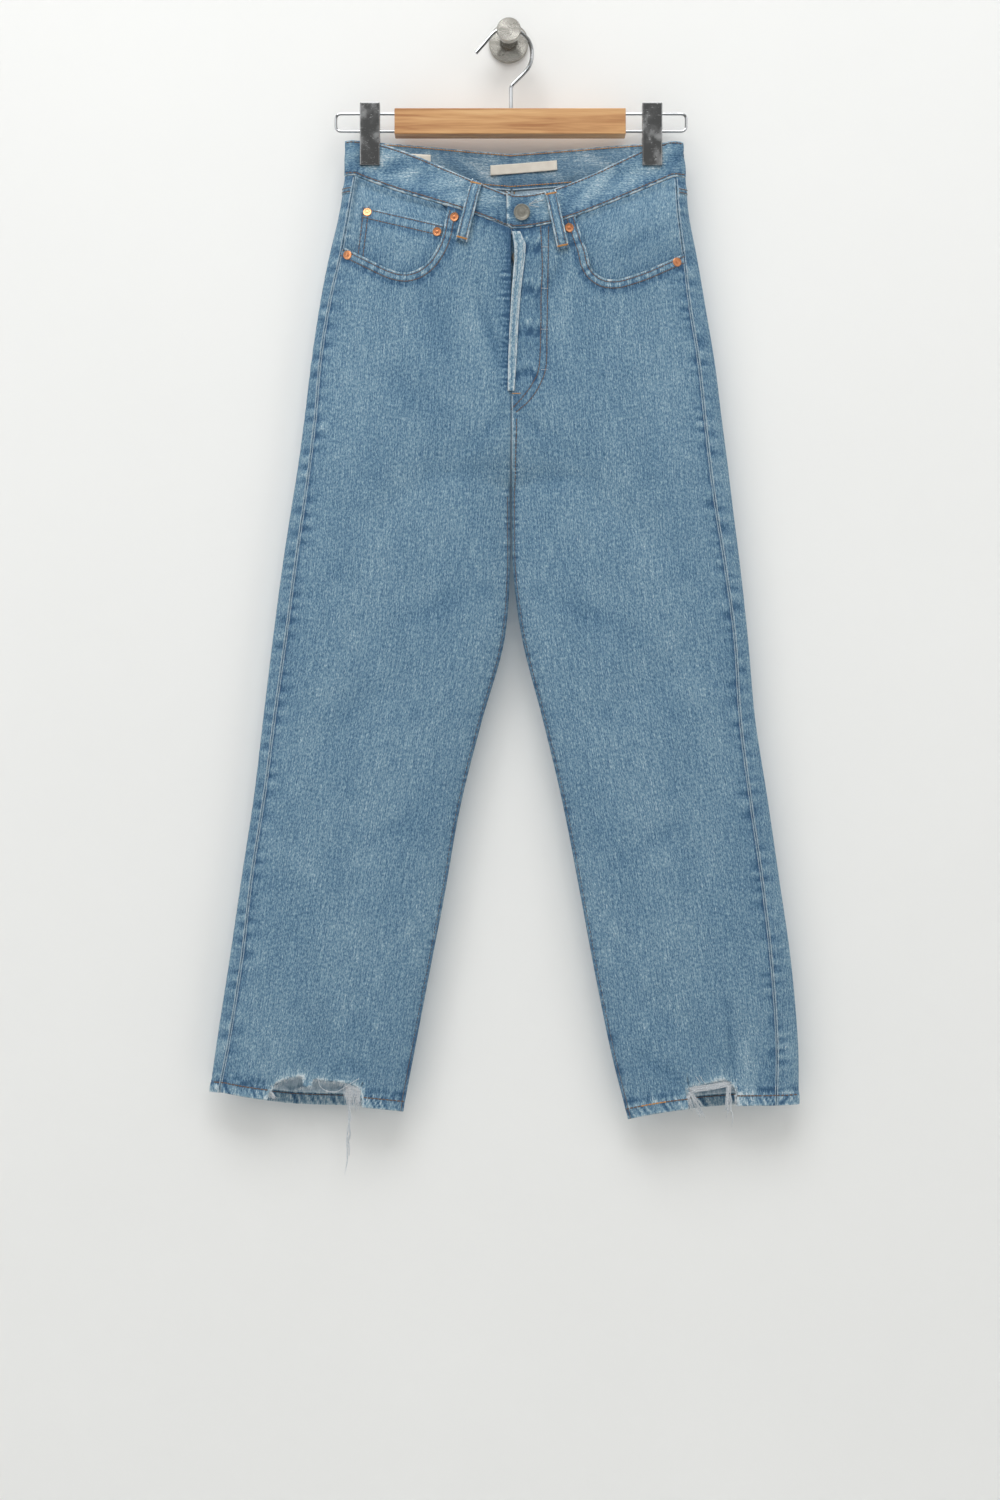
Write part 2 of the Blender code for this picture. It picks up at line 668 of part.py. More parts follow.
def belt_loop(loop):
    """A narrow strip from the waistband's top edge to below its seam, bowed out over the band."""
    steps = 8
    points, outs = [], []
    for i in range(steps + 1):
        share = i / steps
        x = loop.top_x + (loop.foot_x - loop.top_x) * share
        drop = loop.top_drop + (loop.foot_drop - loop.top_drop) * share
        place, across = find(loop.side, loop.face, x, drop)
        middle, out = skin(loop.side, loop.face, place, across), outward(loop.side, loop.face, place, across)
        ends = min(share, 1 - share) * 2
        stand = BAND / 2 + SEAM_GAP + LOOP_THICK / 2 + LOOP_BOW * math.sin(math.pi / 2 * min(ends * 2, 1))
        lean = np.array([loop.side * (loop.foot_drop - loop.top_drop), 0, loop.foot_x - loop.top_x], float)
        lean = np.cross(out, np.array([lean[2] * loop.side, 0, -lean[0] * loop.side]))
        lean /= np.linalg.norm(lean)
        row = [middle + out * stand + lean * LOOP_WIDTH * (k - 0.5) for k in (0, 0.5, 1)]
        points.append(row)
        outs.append([out] * 3)
    return wall("belt_loop_" + loop.name, points, outs, LOOP_THICK, "denim")


# ---------------------------------------------------------------- pockets
FACING_UNDER = 14.0  # how far a facing goes on behind the opening's edge
COIN_INSET = LAYER + 0.2
FACING_INSETS = {RIGHT: 2 * LAYER + 0.35, LEFT: LAYER + 0.7}


def pocket_facing(side):
    """The cloth that shows in a pocket opening, from the waist seam to behind the opening's edge."""
    columns = 13
    curve = along_line([(spot.x, spot.drop) for spot in OPENINGS[side]], columns)
    width = smooth(COLUMNS[side, "outer"], WAIST_SEAM)
    top_from = OPENINGS[side][0].x / width - 0.08
    top_to = seam_across(side, WAIST_SEAM)
    top = [(WAIST_SEAM + 0.01, top_from + (top_to - top_from) * j / (columns - 1)) for j in range(columns)]
    foot = []
    for j, (x, drop) in enumerate(curve):
        lean = 1 - j / (columns - 1)
        place, across = find(side, FRONT, x - FACING_UNDER * lean, drop + FACING_UNDER * (1 - lean * 0.8))
        foot.append((place, min(across, seam_across(side, place))))
    grid = []
    for share in (0.0, 0.25, 0.5, 0.75, 1.0):
        row = []
        for (top_place, top_across), (foot_place, foot_across) in zip(top, foot):
            row.append(
                (
                    side,
                    FRONT,
                    top_place + (foot_place - top_place) * share,
                    top_across + (foot_across - top_across) * share,
                )
            )
        grid.append(row)
    name = "pocket_facing_" + ("right" if side == RIGHT else "left")
    return skin_wall(name, grid, DENIM, "denim", inset=FACING_INSETS[side])


# The coin pocket's corners: top outer, top inner, foot inner, foot outer.
COIN_CORNERS = [Spot(156, 70.3), Spot(70.8, 93.4), Spot(77, 150), Spot(163.5, 137)]


def patch(name, side, face, corners, inset, columns, rows, slot="denim", point=0.0, thickness=DENIM):
    """A four-cornered piece of cloth laid on the skin, with its lower edge drawn to a point if asked."""
    top_out, top_in, foot_in, foot_out = corners
    grid = []
    for i in range(rows):
        down = i / (rows - 1)
        row = []
        for j in range(columns):
            over = j / (columns - 1)
            x_top, x_foot = (
                top_in.x + (top_out.x - top_in.x) * over,
                foot_in.x + (foot_out.x - foot_in.x) * over,
            )
            drop_top = top_in.drop + (top_out.drop - top_in.drop) * over
            drop_foot = foot_in.drop + (foot_out.drop - foot_in.drop) * over
            drop_foot += point * (1 - abs(2 * over - 1))
            place, across = find(side, face, x_top + (x_foot - x_top) * down, drop_top + (drop_foot - drop_top) * down)
            row.append((side, face, place, across))
        grid.append(row)
    return skin_wall(name, grid, thickness, slot, inset=inset)


BACK_POCKET = [Spot(158, 118), Spot(34, 128), Spot(44, 250), Spot(150, 240)]
BACK_POCKET_POINT = 22.0


# ---------------------------------------------------------------- fly
# The fly's folded edge, by its two edges' distances from the centre line on the wearer's left.
Strip = namedtuple("Strip", "drop first second")
FLY_FOLD = [
    Strip(102, 1.0, 9.0),
    Strip(115, 3.3, 15),
    Strip(128, 3.6, 14.3),
    Strip(145, 2.2, 12),
    Strip(162, 0.7, 9.9),
    Strip(196, -1.4, 7.3),
    Strip(231, -2.9, 5.4),
    Strip(266, -3.5, 3.1),
]
FLY_FOLD_THICK = 1.8
FLY_UNDER_FOOT = 262.0
BUTTON_DEPTH = 4.9  # the underlap lies this far behind the front where the buttons are


def fly_fold():
    """The fly's folded edge, which stands out along the wearer's left front."""
    rows = []
    for strip in FLY_FOLD:
        width = strip.second - strip.first
        rows.append(
            [(LEFT, FRONT, *find(LEFT, FRONT, strip.first + width * k, strip.drop)) for k in (0, 0.35, 0.7, 1)]
        )
    inset = -(DENIM / 2 + SEAM_GAP + FLY_FOLD_THICK / 2)
    return skin_wall("fly_fold", rows, FLY_FOLD_THICK, "denim", inset=inset)


def fly_underlap():
    """The strip behind the fly that carries its buttons, sewn to the wearer's right front."""
    stops = [(RIGHT, 22, LAYER + 0.5), (RIGHT, 14, LAYER + 0.5), (RIGHT, 5, BUTTON_DEPTH)]
    stops += [(LEFT, 5, BUTTON_DEPTH), (LEFT, 17, BUTTON_DEPTH), (LEFT, 28, BUTTON_DEPTH)]
    rows = []
    count = 7
    for i in range(count):
        drop = 104 + (FLY_UNDER_FOOT - 104) * i / (count - 1)
        rows.append([(side, FRONT, *find(side, FRONT, x, drop), inset) for side, x, inset in stops])
    return skin_wall("fly_underlap", rows, DENIM, "denim")


# ---------------------------------------------------------------- round metal pieces
def turned(name, profile, centre, axis, slot, sides=20):
    """A turned piece: profile is (radius, height) pairs from its foot on the axis to its top on the axis."""
    axis = np.array(axis, float) / np.linalg.norm(axis)
    start = np.array([0.0, 0.0, 1.0]) if abs(axis[2]) < 0.9 else np.array([1.0, 0.0, 0.0])
    first = np.cross(start, axis)
    first /= np.linalg.norm(first)
    second = np.cross(axis, first)
    centre = np.array(centre, float)
    shape = bmesh.new()
    rings = []
    for radius, height in profile:
        base = centre + axis * height
        if radius == 0:
            rings.append([shape.verts.new(base * MM)])
            continue
        ring = []
        for k in range(sides):
            angle = 2 * math.pi * k / sides
            ring.append(
                shape.verts.new((base + radius * (math.cos(angle) * first + math.sin(angle) * second)) * MM)
            )
        rings.append(ring)
    for low, high in zip(rings, rings[1:]):
        for k in range(sides):
            n = (k + 1) % sides
            if len(low) == 1:
                shape.faces.new((low[0], high[k], high[n]))
            elif len(high) == 1:
                shape.faces.new((low[k], high[0], low[n]))
            else:
                shape.faces.new((low[k], high[k], high[n], low[n]))
    bmesh.ops.recalc_face_normals(shape, faces=shape.faces)
    mesh = bpy.data.meshes.new(name)
    shape.to_mesh(mesh)
    shape.free()
    mesh.shade_smooth()
    mesh.set_sharp_from_angle(angle=math.radians(40))
    return add_object(name, mesh, slot)


RIVET_RADIUS = 4.8
RIVET_PROFILE = [
    (0, 0),
    (RIVET_RADIUS, 0),
    (RIVET_RADIUS, 0.5),
    (4.2, 1.0),
    (2.6, 0.9),
    (2.2, 0.5),
    (1.4, 0.5),
    (1.1, 1.0),
    (0, 1.1),
]
BUTTON_PROFILE = [
    (0, 0),
    (4.0, 0),
    (4.2, 1.0),
    (8.3, 1.3),
    (8.5, 2.2),
    (7.6, 3.0),
    (6.2, 2.9),
    (5.4, 2.4),
    (3.2, 2.4),
    (2.6, 2.9),
    (0, 3.0),
]
FLY_BUTTON_PROFILE = [(0, 0), (3.5, 0), (3.6, 0.6), (6.8, 0.9), (7.0, 1.6), (6.0, 2.3), (0, 2.1)]
Rivet = namedtuple("Rivet", "name side x drop under")
RIVETS = [  # under is how far the cloth that a rivet sits on stands out of the skin
    Rivet("coin_outer", RIGHT, 150.3, 77, -COIN_INSET + DENIM / 2),
    Rivet("coin_inner", RIGHT, 77, 100.5, -COIN_INSET + DENIM / 2),
    Rivet("pocket_top_right", RIGHT, 58.8, 86, DENIM / 2),
    Rivet("pocket_side_right", RIGHT, 170.5, 122, DENIM / 2),
    Rivet("pocket_top_left", LEFT, 60, 97.5, DENIM / 2),
    Rivet("pocket_side_left", LEFT, 173, 129.5, DENIM / 2),
]


def stud(name, profile, side, x, drop, under, slot, sides):
    """A turned piece set on the front at a spot, with its axis straight out of the cloth."""
    place, across = find(side, FRONT, x, drop)
    out = outward(side, FRONT, place, across)
    foot = skin(side, FRONT, place, across) + out * (under + SEAM_GAP)
    return turned(name, profile, foot, out, slot, sides)


# ---------------------------------------------------------------- loose threads at the torn hems
def fringe(name, side, line, cells, tall, strands, slot="loose_thread"):
    """A narrow backing along a torn edge, with threads grown from its lower face.

    line holds Tear stops just below the torn edge. Each strand is (cell of the backing, length,
    sideways lean).
    """
    width = OUTLINES[side][HEM].outer - OUTLINES[side][HEM].inner
    spots = along_line([(stop.across * width, stop.height) for stop in line], cells + 1)
    shape = bmesh.new()
    half_deep = 0.5
    sections = []
    for x, height in spots:
        across = x / width
        place = above_hem(side, FRONT, across, height)
        base, out = skin(side, FRONT, place, across), outward(side, FRONT, place, across)
        section = []
        for depth, up in ((half_deep, 0), (-half_deep, 0), (-half_deep, -tall), (half_deep, -tall)):
            section.append(shape.verts.new((base + out * depth + np.array([0, 0, up])) * MM))
        sections.append(section)
    lower = []
    for first, second in zip(sections, sections[1:]):
        for k in range(4):
            n = (k + 1) % 4
            face = shape.faces.new((first[k], first[n], second[n], second[k]))
            if k == 2:
                lower.append(face)
    shape.faces.new(sections[0])
    shape.faces.new(list(reversed(sections[-1])))
    bmesh.ops.recalc_face_normals(shape, faces=shape.faces)
    for cell, length, lean in strands:
        face = lower[cell]
        steps = max(2, round(length / 10))
        for k in range(steps):
            made = bmesh.ops.extrude_discrete_faces(shape, faces=[face])
            face = made["faces"][0]
            wave = 0.35 * math.sin(1.7 * cell + 2.1 * k)
            move = (side * (lean / steps + wave) * MM, 0, -length / steps * MM)
            bmesh.ops.translate(shape, verts=face.verts, vec=move)
            middle = face.calc_center_median()
            for vert in face.verts:
                vert.co = middle + (vert.co - middle) * (0.88 if k else 0.72)
    mesh = bpy.data.meshes.new(name)
    shape.to_mesh(mesh)
    shape.free()
    return add_object(name, mesh, slot)


Strand = namedtuple("Strand", "cell length lean")


def fringe_right():
    """Threads at the inner end of the wearer's right tear, with a few long ones below the hem."""
    line = [Tear(0.322, 22.2), Tear(0.268, 20.2), Tear(0.240, 15.2)]
    strands = [
        Strand(1, 19, 0),
        Strand(3, 24, 0),
        Strand(5, 21, -0.5),
        Strand(7, 94, -4),
        Strand(9, 63, -2),
        Strand(11, 31, -1),
        Strand(13, 23, 0),
        Strand(15, 20, 0),
        Strand(17, 19, 0),
        Strand(19, 21, 0),
        Strand(21, 16, 0),
        Strand(23, 13, 0),
    ]
    return fringe("fray_right", RIGHT, line, 25, 1.4, strands)


def fringe_left():
    """The white weft left across the wearer's left tear, with threads hanging at both of its ends."""
    line = [Tear(0.373, 21.3), Tear(0.448, 22.4), Tear(0.568, 26.1), Tear(0.594, 25.6)]
    strands = [
        Strand(1, 20, 8),
        Strand(3, 22, 14),
        Strand(5, 18, 14),
        Strand(7, 15, 12),
        Strand(10, 5, 3),
        Strand(28, 5, 0),
        Strand(32, 22, -1),
        Strand(34, 26, -2),
        Strand(36, 47, 2),
        Strand(38, 27, -2),
        Strand(40, 36, 0),
    ]
    return fringe("fray_left", LEFT, line, 42, 4.6, strands)


# ---------------------------------------------------------------- labels inside the back waistband
LABEL_THICK = 0.8
SIZE_LABEL = [Spot(48.3, 19), Spot(-21.8, 24), Spot(-21.8, 34.5), Spot(48.8, 29)]
CARE_LABEL = [Spot(106, 13), Spot(84.6, 14), Spot(84.6, 38), Spot(106, 37)]


def label(name, side, corners):
    """A woven label that stands just inside the back of the waistband."""
    inset = BAND / 2 + 2 * SEAM_GAP + LABEL_THICK / 2
    return patch(name, side, BACK, corners, inset, 7, 3, "woven_label", thickness=LABEL_THICK)


# ---------------------------------------------------------------- hanger and wall hook
BAR_X, BAR_LENGTH, BAR_HEIGHT, BAR_DEPTH = 1.4, 242.0, 27.0, 20.0
BAR_TOP = -78.7
WIRE_RADIUS, WIRE_TOP, WIRE_FOOT, WIRE_BEND = 1.5, -82.3, -100.6, 5.0
WIRE_END = {RIGHT: 183.0, LEFT: 187.7}  # how far each loop of wire reaches from the wall plate's middle
CLIP_WIDTH, CLIP_HEIGHT, CLIP_DEPTH, CLIP_TOP = 21.0, 66.0, 12.0, -71.5
CLIP_SLOT = BAND * 2 + SEAM_GAP * 3  # two layers of the band, each with its gap
HOOK_RADIUS = 2.0
NECK_RADIUS = 7.0


def box(name, low, high, slot, bevel=0.0):
    """A block between two corners, with its edges eased."""
    shape = bmesh.new()
    bmesh.ops.create_cube(shape, size=1)
    low, high = np.array(low, float), np.array(high, float)
    bmesh.ops.scale(shape, vec=tuple((high - low) * MM), verts=shape.verts)
    bmesh.ops.translate(shape, vec=tuple((high + low) / 2 * MM), verts=shape.verts)
    mesh = bpy.data.meshes.new(name)
    shape.to_mesh(mesh)
    shape.free()
    made = add_object(name, mesh, slot)
    if bevel:
        ease = made.modifiers.new("eased_edges", "BEVEL")
        ease.width, ease.segments = bevel * MM, 2
    return made


def tube(name, stops, radius, slot, sides=3, closed=False):
    """A round wire through stops in millimetres."""
    line = bpy.data.curves.new(name, "CURVE")
    line.dimensions = "3D"
    line.bevel_depth = radius * MM
    line.bevel_resolution = sides
    line.use_fill_caps = True
    spline = line.splines.new("POLY")
    spline.points.add(len(stops) - 1)
    for point, stop in zip(spline.points, stops):
        point.co = (*(np.array(stop, float) * MM), 1)
    spline.use_cyclic_u = closed
    return add_object(name, line, slot)


def through(stops, per_span=5):
    """A smooth line through stops."""
    stops = [np.array(stop, float) for stop in stops]
    axes = [[stop[k] for stop in stops] for k in range(3)]
    places = np.linspace(0, len(stops) - 1, per_span * (len(stops) - 1) + 1)
    return [tuple(smooth(axis, min(place, len(stops) - 1 - 1e-9)) for axis in axes) for place in places]


def hanger_wire(side):
    """A loop of wire that leaves the bar's end, runs out, turns and comes back below."""
    start = BAR_X + side * (BAR_LENGTH / 2 + SEAM_GAP)
    end = side * (WIRE_END[side] - WIRE_RADIUS)
    stops = [(start, HANG_Y, WIRE_TOP)]
    for centre_z, first in ((WIRE_TOP - WIRE_BEND, 90), (WIRE_FOOT + WIRE_BEND, 0)):
        for k in range(5):
            angle = math.radians(first - 90 * k / 4)
            stops.append(
                (
                    end + side * WIRE_BEND * (math.cos(angle) - 1),
                    HANG_Y,
                    centre_z + WIRE_BEND * math.sin(angle),
                )
            )
    stops.append((start, HANG_Y, WIRE_FOOT))
    name = "hanger_wire_" + ("right" if side == RIGHT else "left")
    return tube(name, stops, WIRE_RADIUS, "chrome", sides=2)


def cutter(made):
    made.hide_render = True
    made.display_type = "WIRE"
    return made


def cut(made, tools):
    for tool in tools:
        step = made.modifiers.new("cut_" + tool.name, "BOOLEAN")
        step.operation = "DIFFERENCE"
        step.object = cutter(tool)


def clip(side):
    """A sheet-metal clip on the wires, closed on the waistband."""
    middle = CENTRE_X + side * CLIP_X
    half_width, half_depth = CLIP_WIDTH / 2, CLIP_DEPTH / 2
    name = "clip_" + ("right" if side == RIGHT else "left")
    made = box(
        name,
        (middle - half_width, HANG_Y - half_depth, CLIP_TOP - CLIP_HEIGHT),
        (middle + half_width, HANG_Y + half_depth, CLIP_TOP),
        "chrome",
        bevel=1.0,
    )
    mouth_top = WAIST_Z + 3
    mouth = box(
        name + "_mouth",
        (middle - half_width - 5, HANG_Y - CLIP_SLOT / 2, CLIP_TOP - CLIP_HEIGHT - 5),
        (middle + half_width + 5, HANG_Y + CLIP_SLOT / 2, mouth_top),
        "chrome",
    )
    tools = [mouth]
    for label_z, z in (("top", WIRE_TOP), ("foot", WIRE_FOOT)):
        hole = WIRE_RADIUS + SEAM_GAP
        tools.append(
            turned(
                f"{name}_hole_{label_z}",
                [(0, -20), (hole, -20), (hole, 20), (0, 20)],
                (middle, HANG_Y, z),
                (1, 0, 0),
                "chrome",
                sides=12,
            )
        )
    cut(made, tools)
    return made


def hanger_hook():
    """The hook: up out of the bar, round to one side and over the wall hook's neck."""
    stem_x = 2.4
    foot = BAR_TOP + SEAM_GAP
    over = NECK_RADIUS + SEAM_GAP + HOOK_RADIUS
    bends = [(stem_x, -55), (4.5, -51), (17.5, -38), (22.5, -30), (24.4, -21), (23.6, -12), (20, -3.5)]
    bends += [(11.5, 4.2)]
    bends += [(over * math.sin(math.radians(a)), over * math.cos(math.radians(a))) for a in (30, 0, -30)]
    bends += [(-15.3, 3.3), (-25, -7.6), (-34.6, -18.4)]
    line = through([(x, HANG_Y, z) for x, z in bends], per_span=3)
    return tube("hanger_hook", [(stem_x, HANG_Y, foot)] + line, HOOK_RADIUS, "chrome", sides=2)


def wall_hook():
    """A round plate against the wall, and a post with a wider flat knob."""
    plate = [(0, 0), (21, 0), (21, 3.6), (20, 4.6), (0, 4.6)]
    turned("wall_plate", plate, (0, 0, 0), (0, -1, 0), "steel", sides=40)
    post = [
        (0, 4.9),
        (9.5, 4.9),
        (8.6, 7),
        (7.4, 12),
        (NECK_RADIUS, 18),
        (NECK_RADIUS, 36),
        (12.2, 41),
        (12.6, 42),
        (12.6, 49),
        (11.8, 50),
        (0, 50),
    ]
    turned("wall_post", post, (0, 0, 0), (0, -1, 0), "steel", sides=28)


def hanger():
    end = BAR_LENGTH / 2
    low = (BAR_X - end, HANG_Y - BAR_DEPTH / 2, BAR_TOP - BAR_HEIGHT)
    high = (BAR_X + end, HANG_Y + BAR_DEPTH / 2, BAR_TOP)
    box("hanger_bar", low, high, "wood", bevel=0.8)
    hanger_hook()
    for side in (RIGHT, LEFT):
        hanger_wire(side)
        clip(side)


def jeans():
    waistband()
    for side in (RIGHT, LEFT):
        front_panel(side)
        back_panel(side)
        yoke(side)
        pocket_facing(side)
        name = "back_pocket_" + ("right" if side == RIGHT else "left")
        patch(name, side, BACK, BACK_POCKET, -LAYER - 0.4, 9, 6, point=BACK_POCKET_POINT)
    patch("coin_pocket", RIGHT, FRONT, COIN_CORNERS, COIN_INSET, 9, 5)
    fly_fold()
    fly_underlap()
    for loop in LOOPS:
        belt_loop(loop)
    stud("waist_button", BUTTON_PROFILE, LEFT, 10.9, 82.4, BAND / 2, "old_nickel", 20)
    stud("fly_button", FLY_BUTTON_PROFILE, LEFT, 7.3, 128, -BUTTON_DEPTH + DENIM / 2, "old_nickel", 16)
    for rivet in RIVETS:
        stud("rivet_" + rivet.name, RIVET_PROFILE, rivet.side, rivet.x, rivet.drop, rivet.under, "copper", 14)
    fringe_right()
    fringe_left()
    label("size_label", LEFT, SIZE_LABEL)
    label("care_label", RIGHT, CARE_LABEL)


def main():
    for old in list(bpy.data.objects):
        bpy.data.objects.remove(old)
    wall_hook()
    hanger()
    jeans()


main()
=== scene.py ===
"""The looks of the straight-leg jeans, their clip hanger and their wall hook.

Sizes are in millimetres until a mesh is made. The cloth lies on the skin that the solids are made
from, so the tables of the skin are the same. A place is a row of the tables, and a share across runs
from a panel's inner edge, 0, to the side fold, 1.
"""

import math
from collections import namedtuple

import bmesh
import bpy
import numpy as np
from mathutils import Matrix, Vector
from mathutils.bvhtree import BVHTree

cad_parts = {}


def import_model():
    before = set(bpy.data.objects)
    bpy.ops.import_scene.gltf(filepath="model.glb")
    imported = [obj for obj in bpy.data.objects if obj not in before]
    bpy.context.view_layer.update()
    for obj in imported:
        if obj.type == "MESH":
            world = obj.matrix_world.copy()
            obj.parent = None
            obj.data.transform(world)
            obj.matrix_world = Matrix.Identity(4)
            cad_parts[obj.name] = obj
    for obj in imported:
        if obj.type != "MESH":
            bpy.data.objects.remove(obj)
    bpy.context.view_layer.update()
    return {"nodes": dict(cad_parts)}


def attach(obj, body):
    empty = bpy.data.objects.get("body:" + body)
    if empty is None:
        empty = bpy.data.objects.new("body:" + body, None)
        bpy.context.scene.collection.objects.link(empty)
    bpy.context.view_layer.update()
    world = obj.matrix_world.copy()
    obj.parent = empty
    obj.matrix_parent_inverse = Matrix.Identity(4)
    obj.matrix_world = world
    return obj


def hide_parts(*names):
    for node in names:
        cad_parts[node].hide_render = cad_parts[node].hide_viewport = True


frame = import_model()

MM = 0.001
RIGHT, LEFT = -1, 1
FRONT, BACK = -1, 1

# ---------------------------------------------------------------- the skin's sizes and tables
HANG_Y, CENTRE_X, WAIST_Z = -28.0, 2.4, -111.0
DENIM, BAND, SEAM_GAP = 1.5, 3.0, 0.3
LAYER = DENIM + SEAM_GAP
HEM_RISE = 0.9
CROWN, ROUNDING = 2.6, 0.62
CLIP_X, CLIP_HALF = 148.0, 13.0
PINCH = (BAND + SEAM_GAP) / 2
EAR = 3.2
PINCH_FROM, PINCH_TO = 36.0, 130.0
SPRING = 0.24
SLOPE_END = 0.93
PAST_CENTRE = -0.25
WAIST_TOP, WAIST_SEAM, HIP, ANKLE, HEM = 0, 1, 4, 15, 17
YOKE_AT_SIDE, YOKE_AT_BACK = 1.5, 2.33
SEAM_SHARE = 0.0048
# Rows of stitches, by their distance from the edge or seam beside them.
HEM_ROW, HEM_FOLD = 10.5, 12.5
SCOOP_ROWS = (2.6, 8.7)
FELLED_ROWS = (2.4, 7.8)
INSEAM_ROW, OUTSEAM_ROW = 3.2, 2.2
COIN_TOP_ROWS, COIN_SIDE_ROWS = (2.2, 12), (2.2, 7.5)
# How far apart the waves of a shrunken seam stand.
OUTSEAM_PITCH, FINE_PITCH, HEM_PITCH = 16.5, 8.5, 8.2
LEG_END, HEM_MARKS_FROM = 14.5, 14.6
FULL_TURN = 6.28


def table(kind, *rows):
    return [kind(*row) for row in rows]


Outline = namedtuple("Outline", "inner outer outseam front_drop back_drop outer_drop")
OUTLINES = {
    RIGHT: table(
        Outline,
        (0.15, 173, 10, 63.9, 12, 0),
        (0.15, 174, 10, 98.7, 50, 37),
        (0.15, 180, 10, 136.5, 97, 78),
        (0.15, 191, 12, 177, 146, 125),
        (0.15, 200, 10, 220.5, 195, 172),
        (0.15, 209, 9.5, 269, 252, 232),
        (0.5, 216, 11.5, 315, 306, 290),
        (1.1, 223, 12.3, 364, 362, 342),
        (1.2, 231, 13.3, 407, 405, 392),
        (1.4, 239.5, 13.7, 455, 455, 448),
        (8.0, 249, 13.7, 527, 527, 520),
        (32, 259, 12, 612, 612, 602),
        (54, 269, 11, 700, 700, 686),
        (70, 282, 10.6, 790, 790, 772),
        (87, 294.5, 13, 878, 878, 857),
        (103, 307.5, 12.8, 962, 962, 941),
        (111.3, 313.6, 10.5, 1005.5, 1005.5, 985),
        (113.4, 315, 10, 1018, 1018, 997.5),
    ),
    LEFT: table(
        Outline,
        (0.15, 179.5, 10, 63.9, 12, 1),
        (0.8, 182.5, 10, 98.7, 50, 38.5),
        (3.6, 186, 11.4, 136.5, 97, 78),
        (0.15, 195, 14, 177, 146, 125),
        (0.15, 203, 16.5, 220.5, 195, 172),
        (0.15, 213, 17, 269, 252, 232),
        (0.5, 220.5, 18, 315, 306, 292),
        (1.1, 227, 19, 364, 362, 342),
        (1.3, 233, 18, 407, 405, 392),
        (2.6, 240, 16, 455, 455, 448),
        (13, 248, 14, 527, 527, 522),
        (34.5, 255.5, 16, 610, 610, 606),
        (55, 268.5, 18.5, 697, 697, 690),
        (71.5, 281, 18.6, 782, 782, 776),
        (87.5, 293, 21, 868, 868, 860),
        (104.5, 300.3, 22.5, 952, 952, 942),
        (119.5, 301.3, 24, 1012, 1012, 996.5),
        (123, 301.4, 24.5, 1026, 1026, 1010.5),
    ),
}
# How far each row's line bends down at a third and at two thirds across, in millimetres.
BENDS = {
    (RIGHT, FRONT): {0: (2.5, -9.2), 1: (-1, 1.5), 15: (-1, 1), 16: (-2, 2.5), 17: (-2, 2.5)},
    (LEFT, FRONT): {0: (11.5, -5), 1: (9.2, 0.8), 2: (4, 0), 15: (-2, -1), 16: (-5, -2.5), 17: (-5, -2.5)},
    (RIGHT, BACK): {15: (0, 3), 16: (-1, 7.5), 17: (-1, 7.5)},
    (LEFT, BACK): {16: (-1.5, -1.5), 17: (-1.5, -1.5)},
}
Form = namedtuple("Form", "front back legs")
FORMS = table(
    Form,
    (33, 7, 0),
    (32, 9, 0),
    (30, 13, 0),
    (27, 17, 0),
    (25, 19, 0),
    (24, 20, 0.1),
    (22, 20, 0.45),
    (20, 19, 1),
    (19, 18, 1),
    (18.5, 17.5, 1),
    (18, 17, 1),
    (17, 16, 1),
    (16.5, 15.5, 1),
    (16, 15, 1),
    (15.5, 14.5, 1),
    (15, 14, 1),
    (15, 14, 1),
    (15, 14, 1),
)
Fold = namedtuple("Fold", "x0 drop0 x1 drop1 width depth")
FOLDS = {
    (RIGHT, FRONT): table(
        Fold,
        (55, 105, 20, 240, 15, 2.2),
        (150, 400, 60, 340, 20, 2.0),
        (110, 560, 200, 640, 24, 1.8),
        (190, 930, 205, 985, 14, 2.2),
    ),
    (LEFT, FRONT): table(
        Fold,
        (60, 120, 26, 250, 15, 2.2),
        (160, 430, 60, 350, 20, 2.2),
        (95, 600, 190, 540, 24, 1.8),
        (238, 930, 243, 1000, 11, 3.0),
        (150, 900, 225, 985, 16, 2.2),
    ),
    (RIGHT, BACK): table(
        Fold,
        (60, 300, 160, 350, 20, 2.6),
        (60, 400, 190, 430, 22, 2.4),
        (90, 640, 230, 700, 26, 2.2),
    ),
    (LEFT, BACK): table(
        Fold,
        (70, 310, 170, 345, 20, 2.6),
        (60, 410, 190, 425, 22, 2.4),
        (90, 650, 230, 690, 26, 2.2),
    ),
}
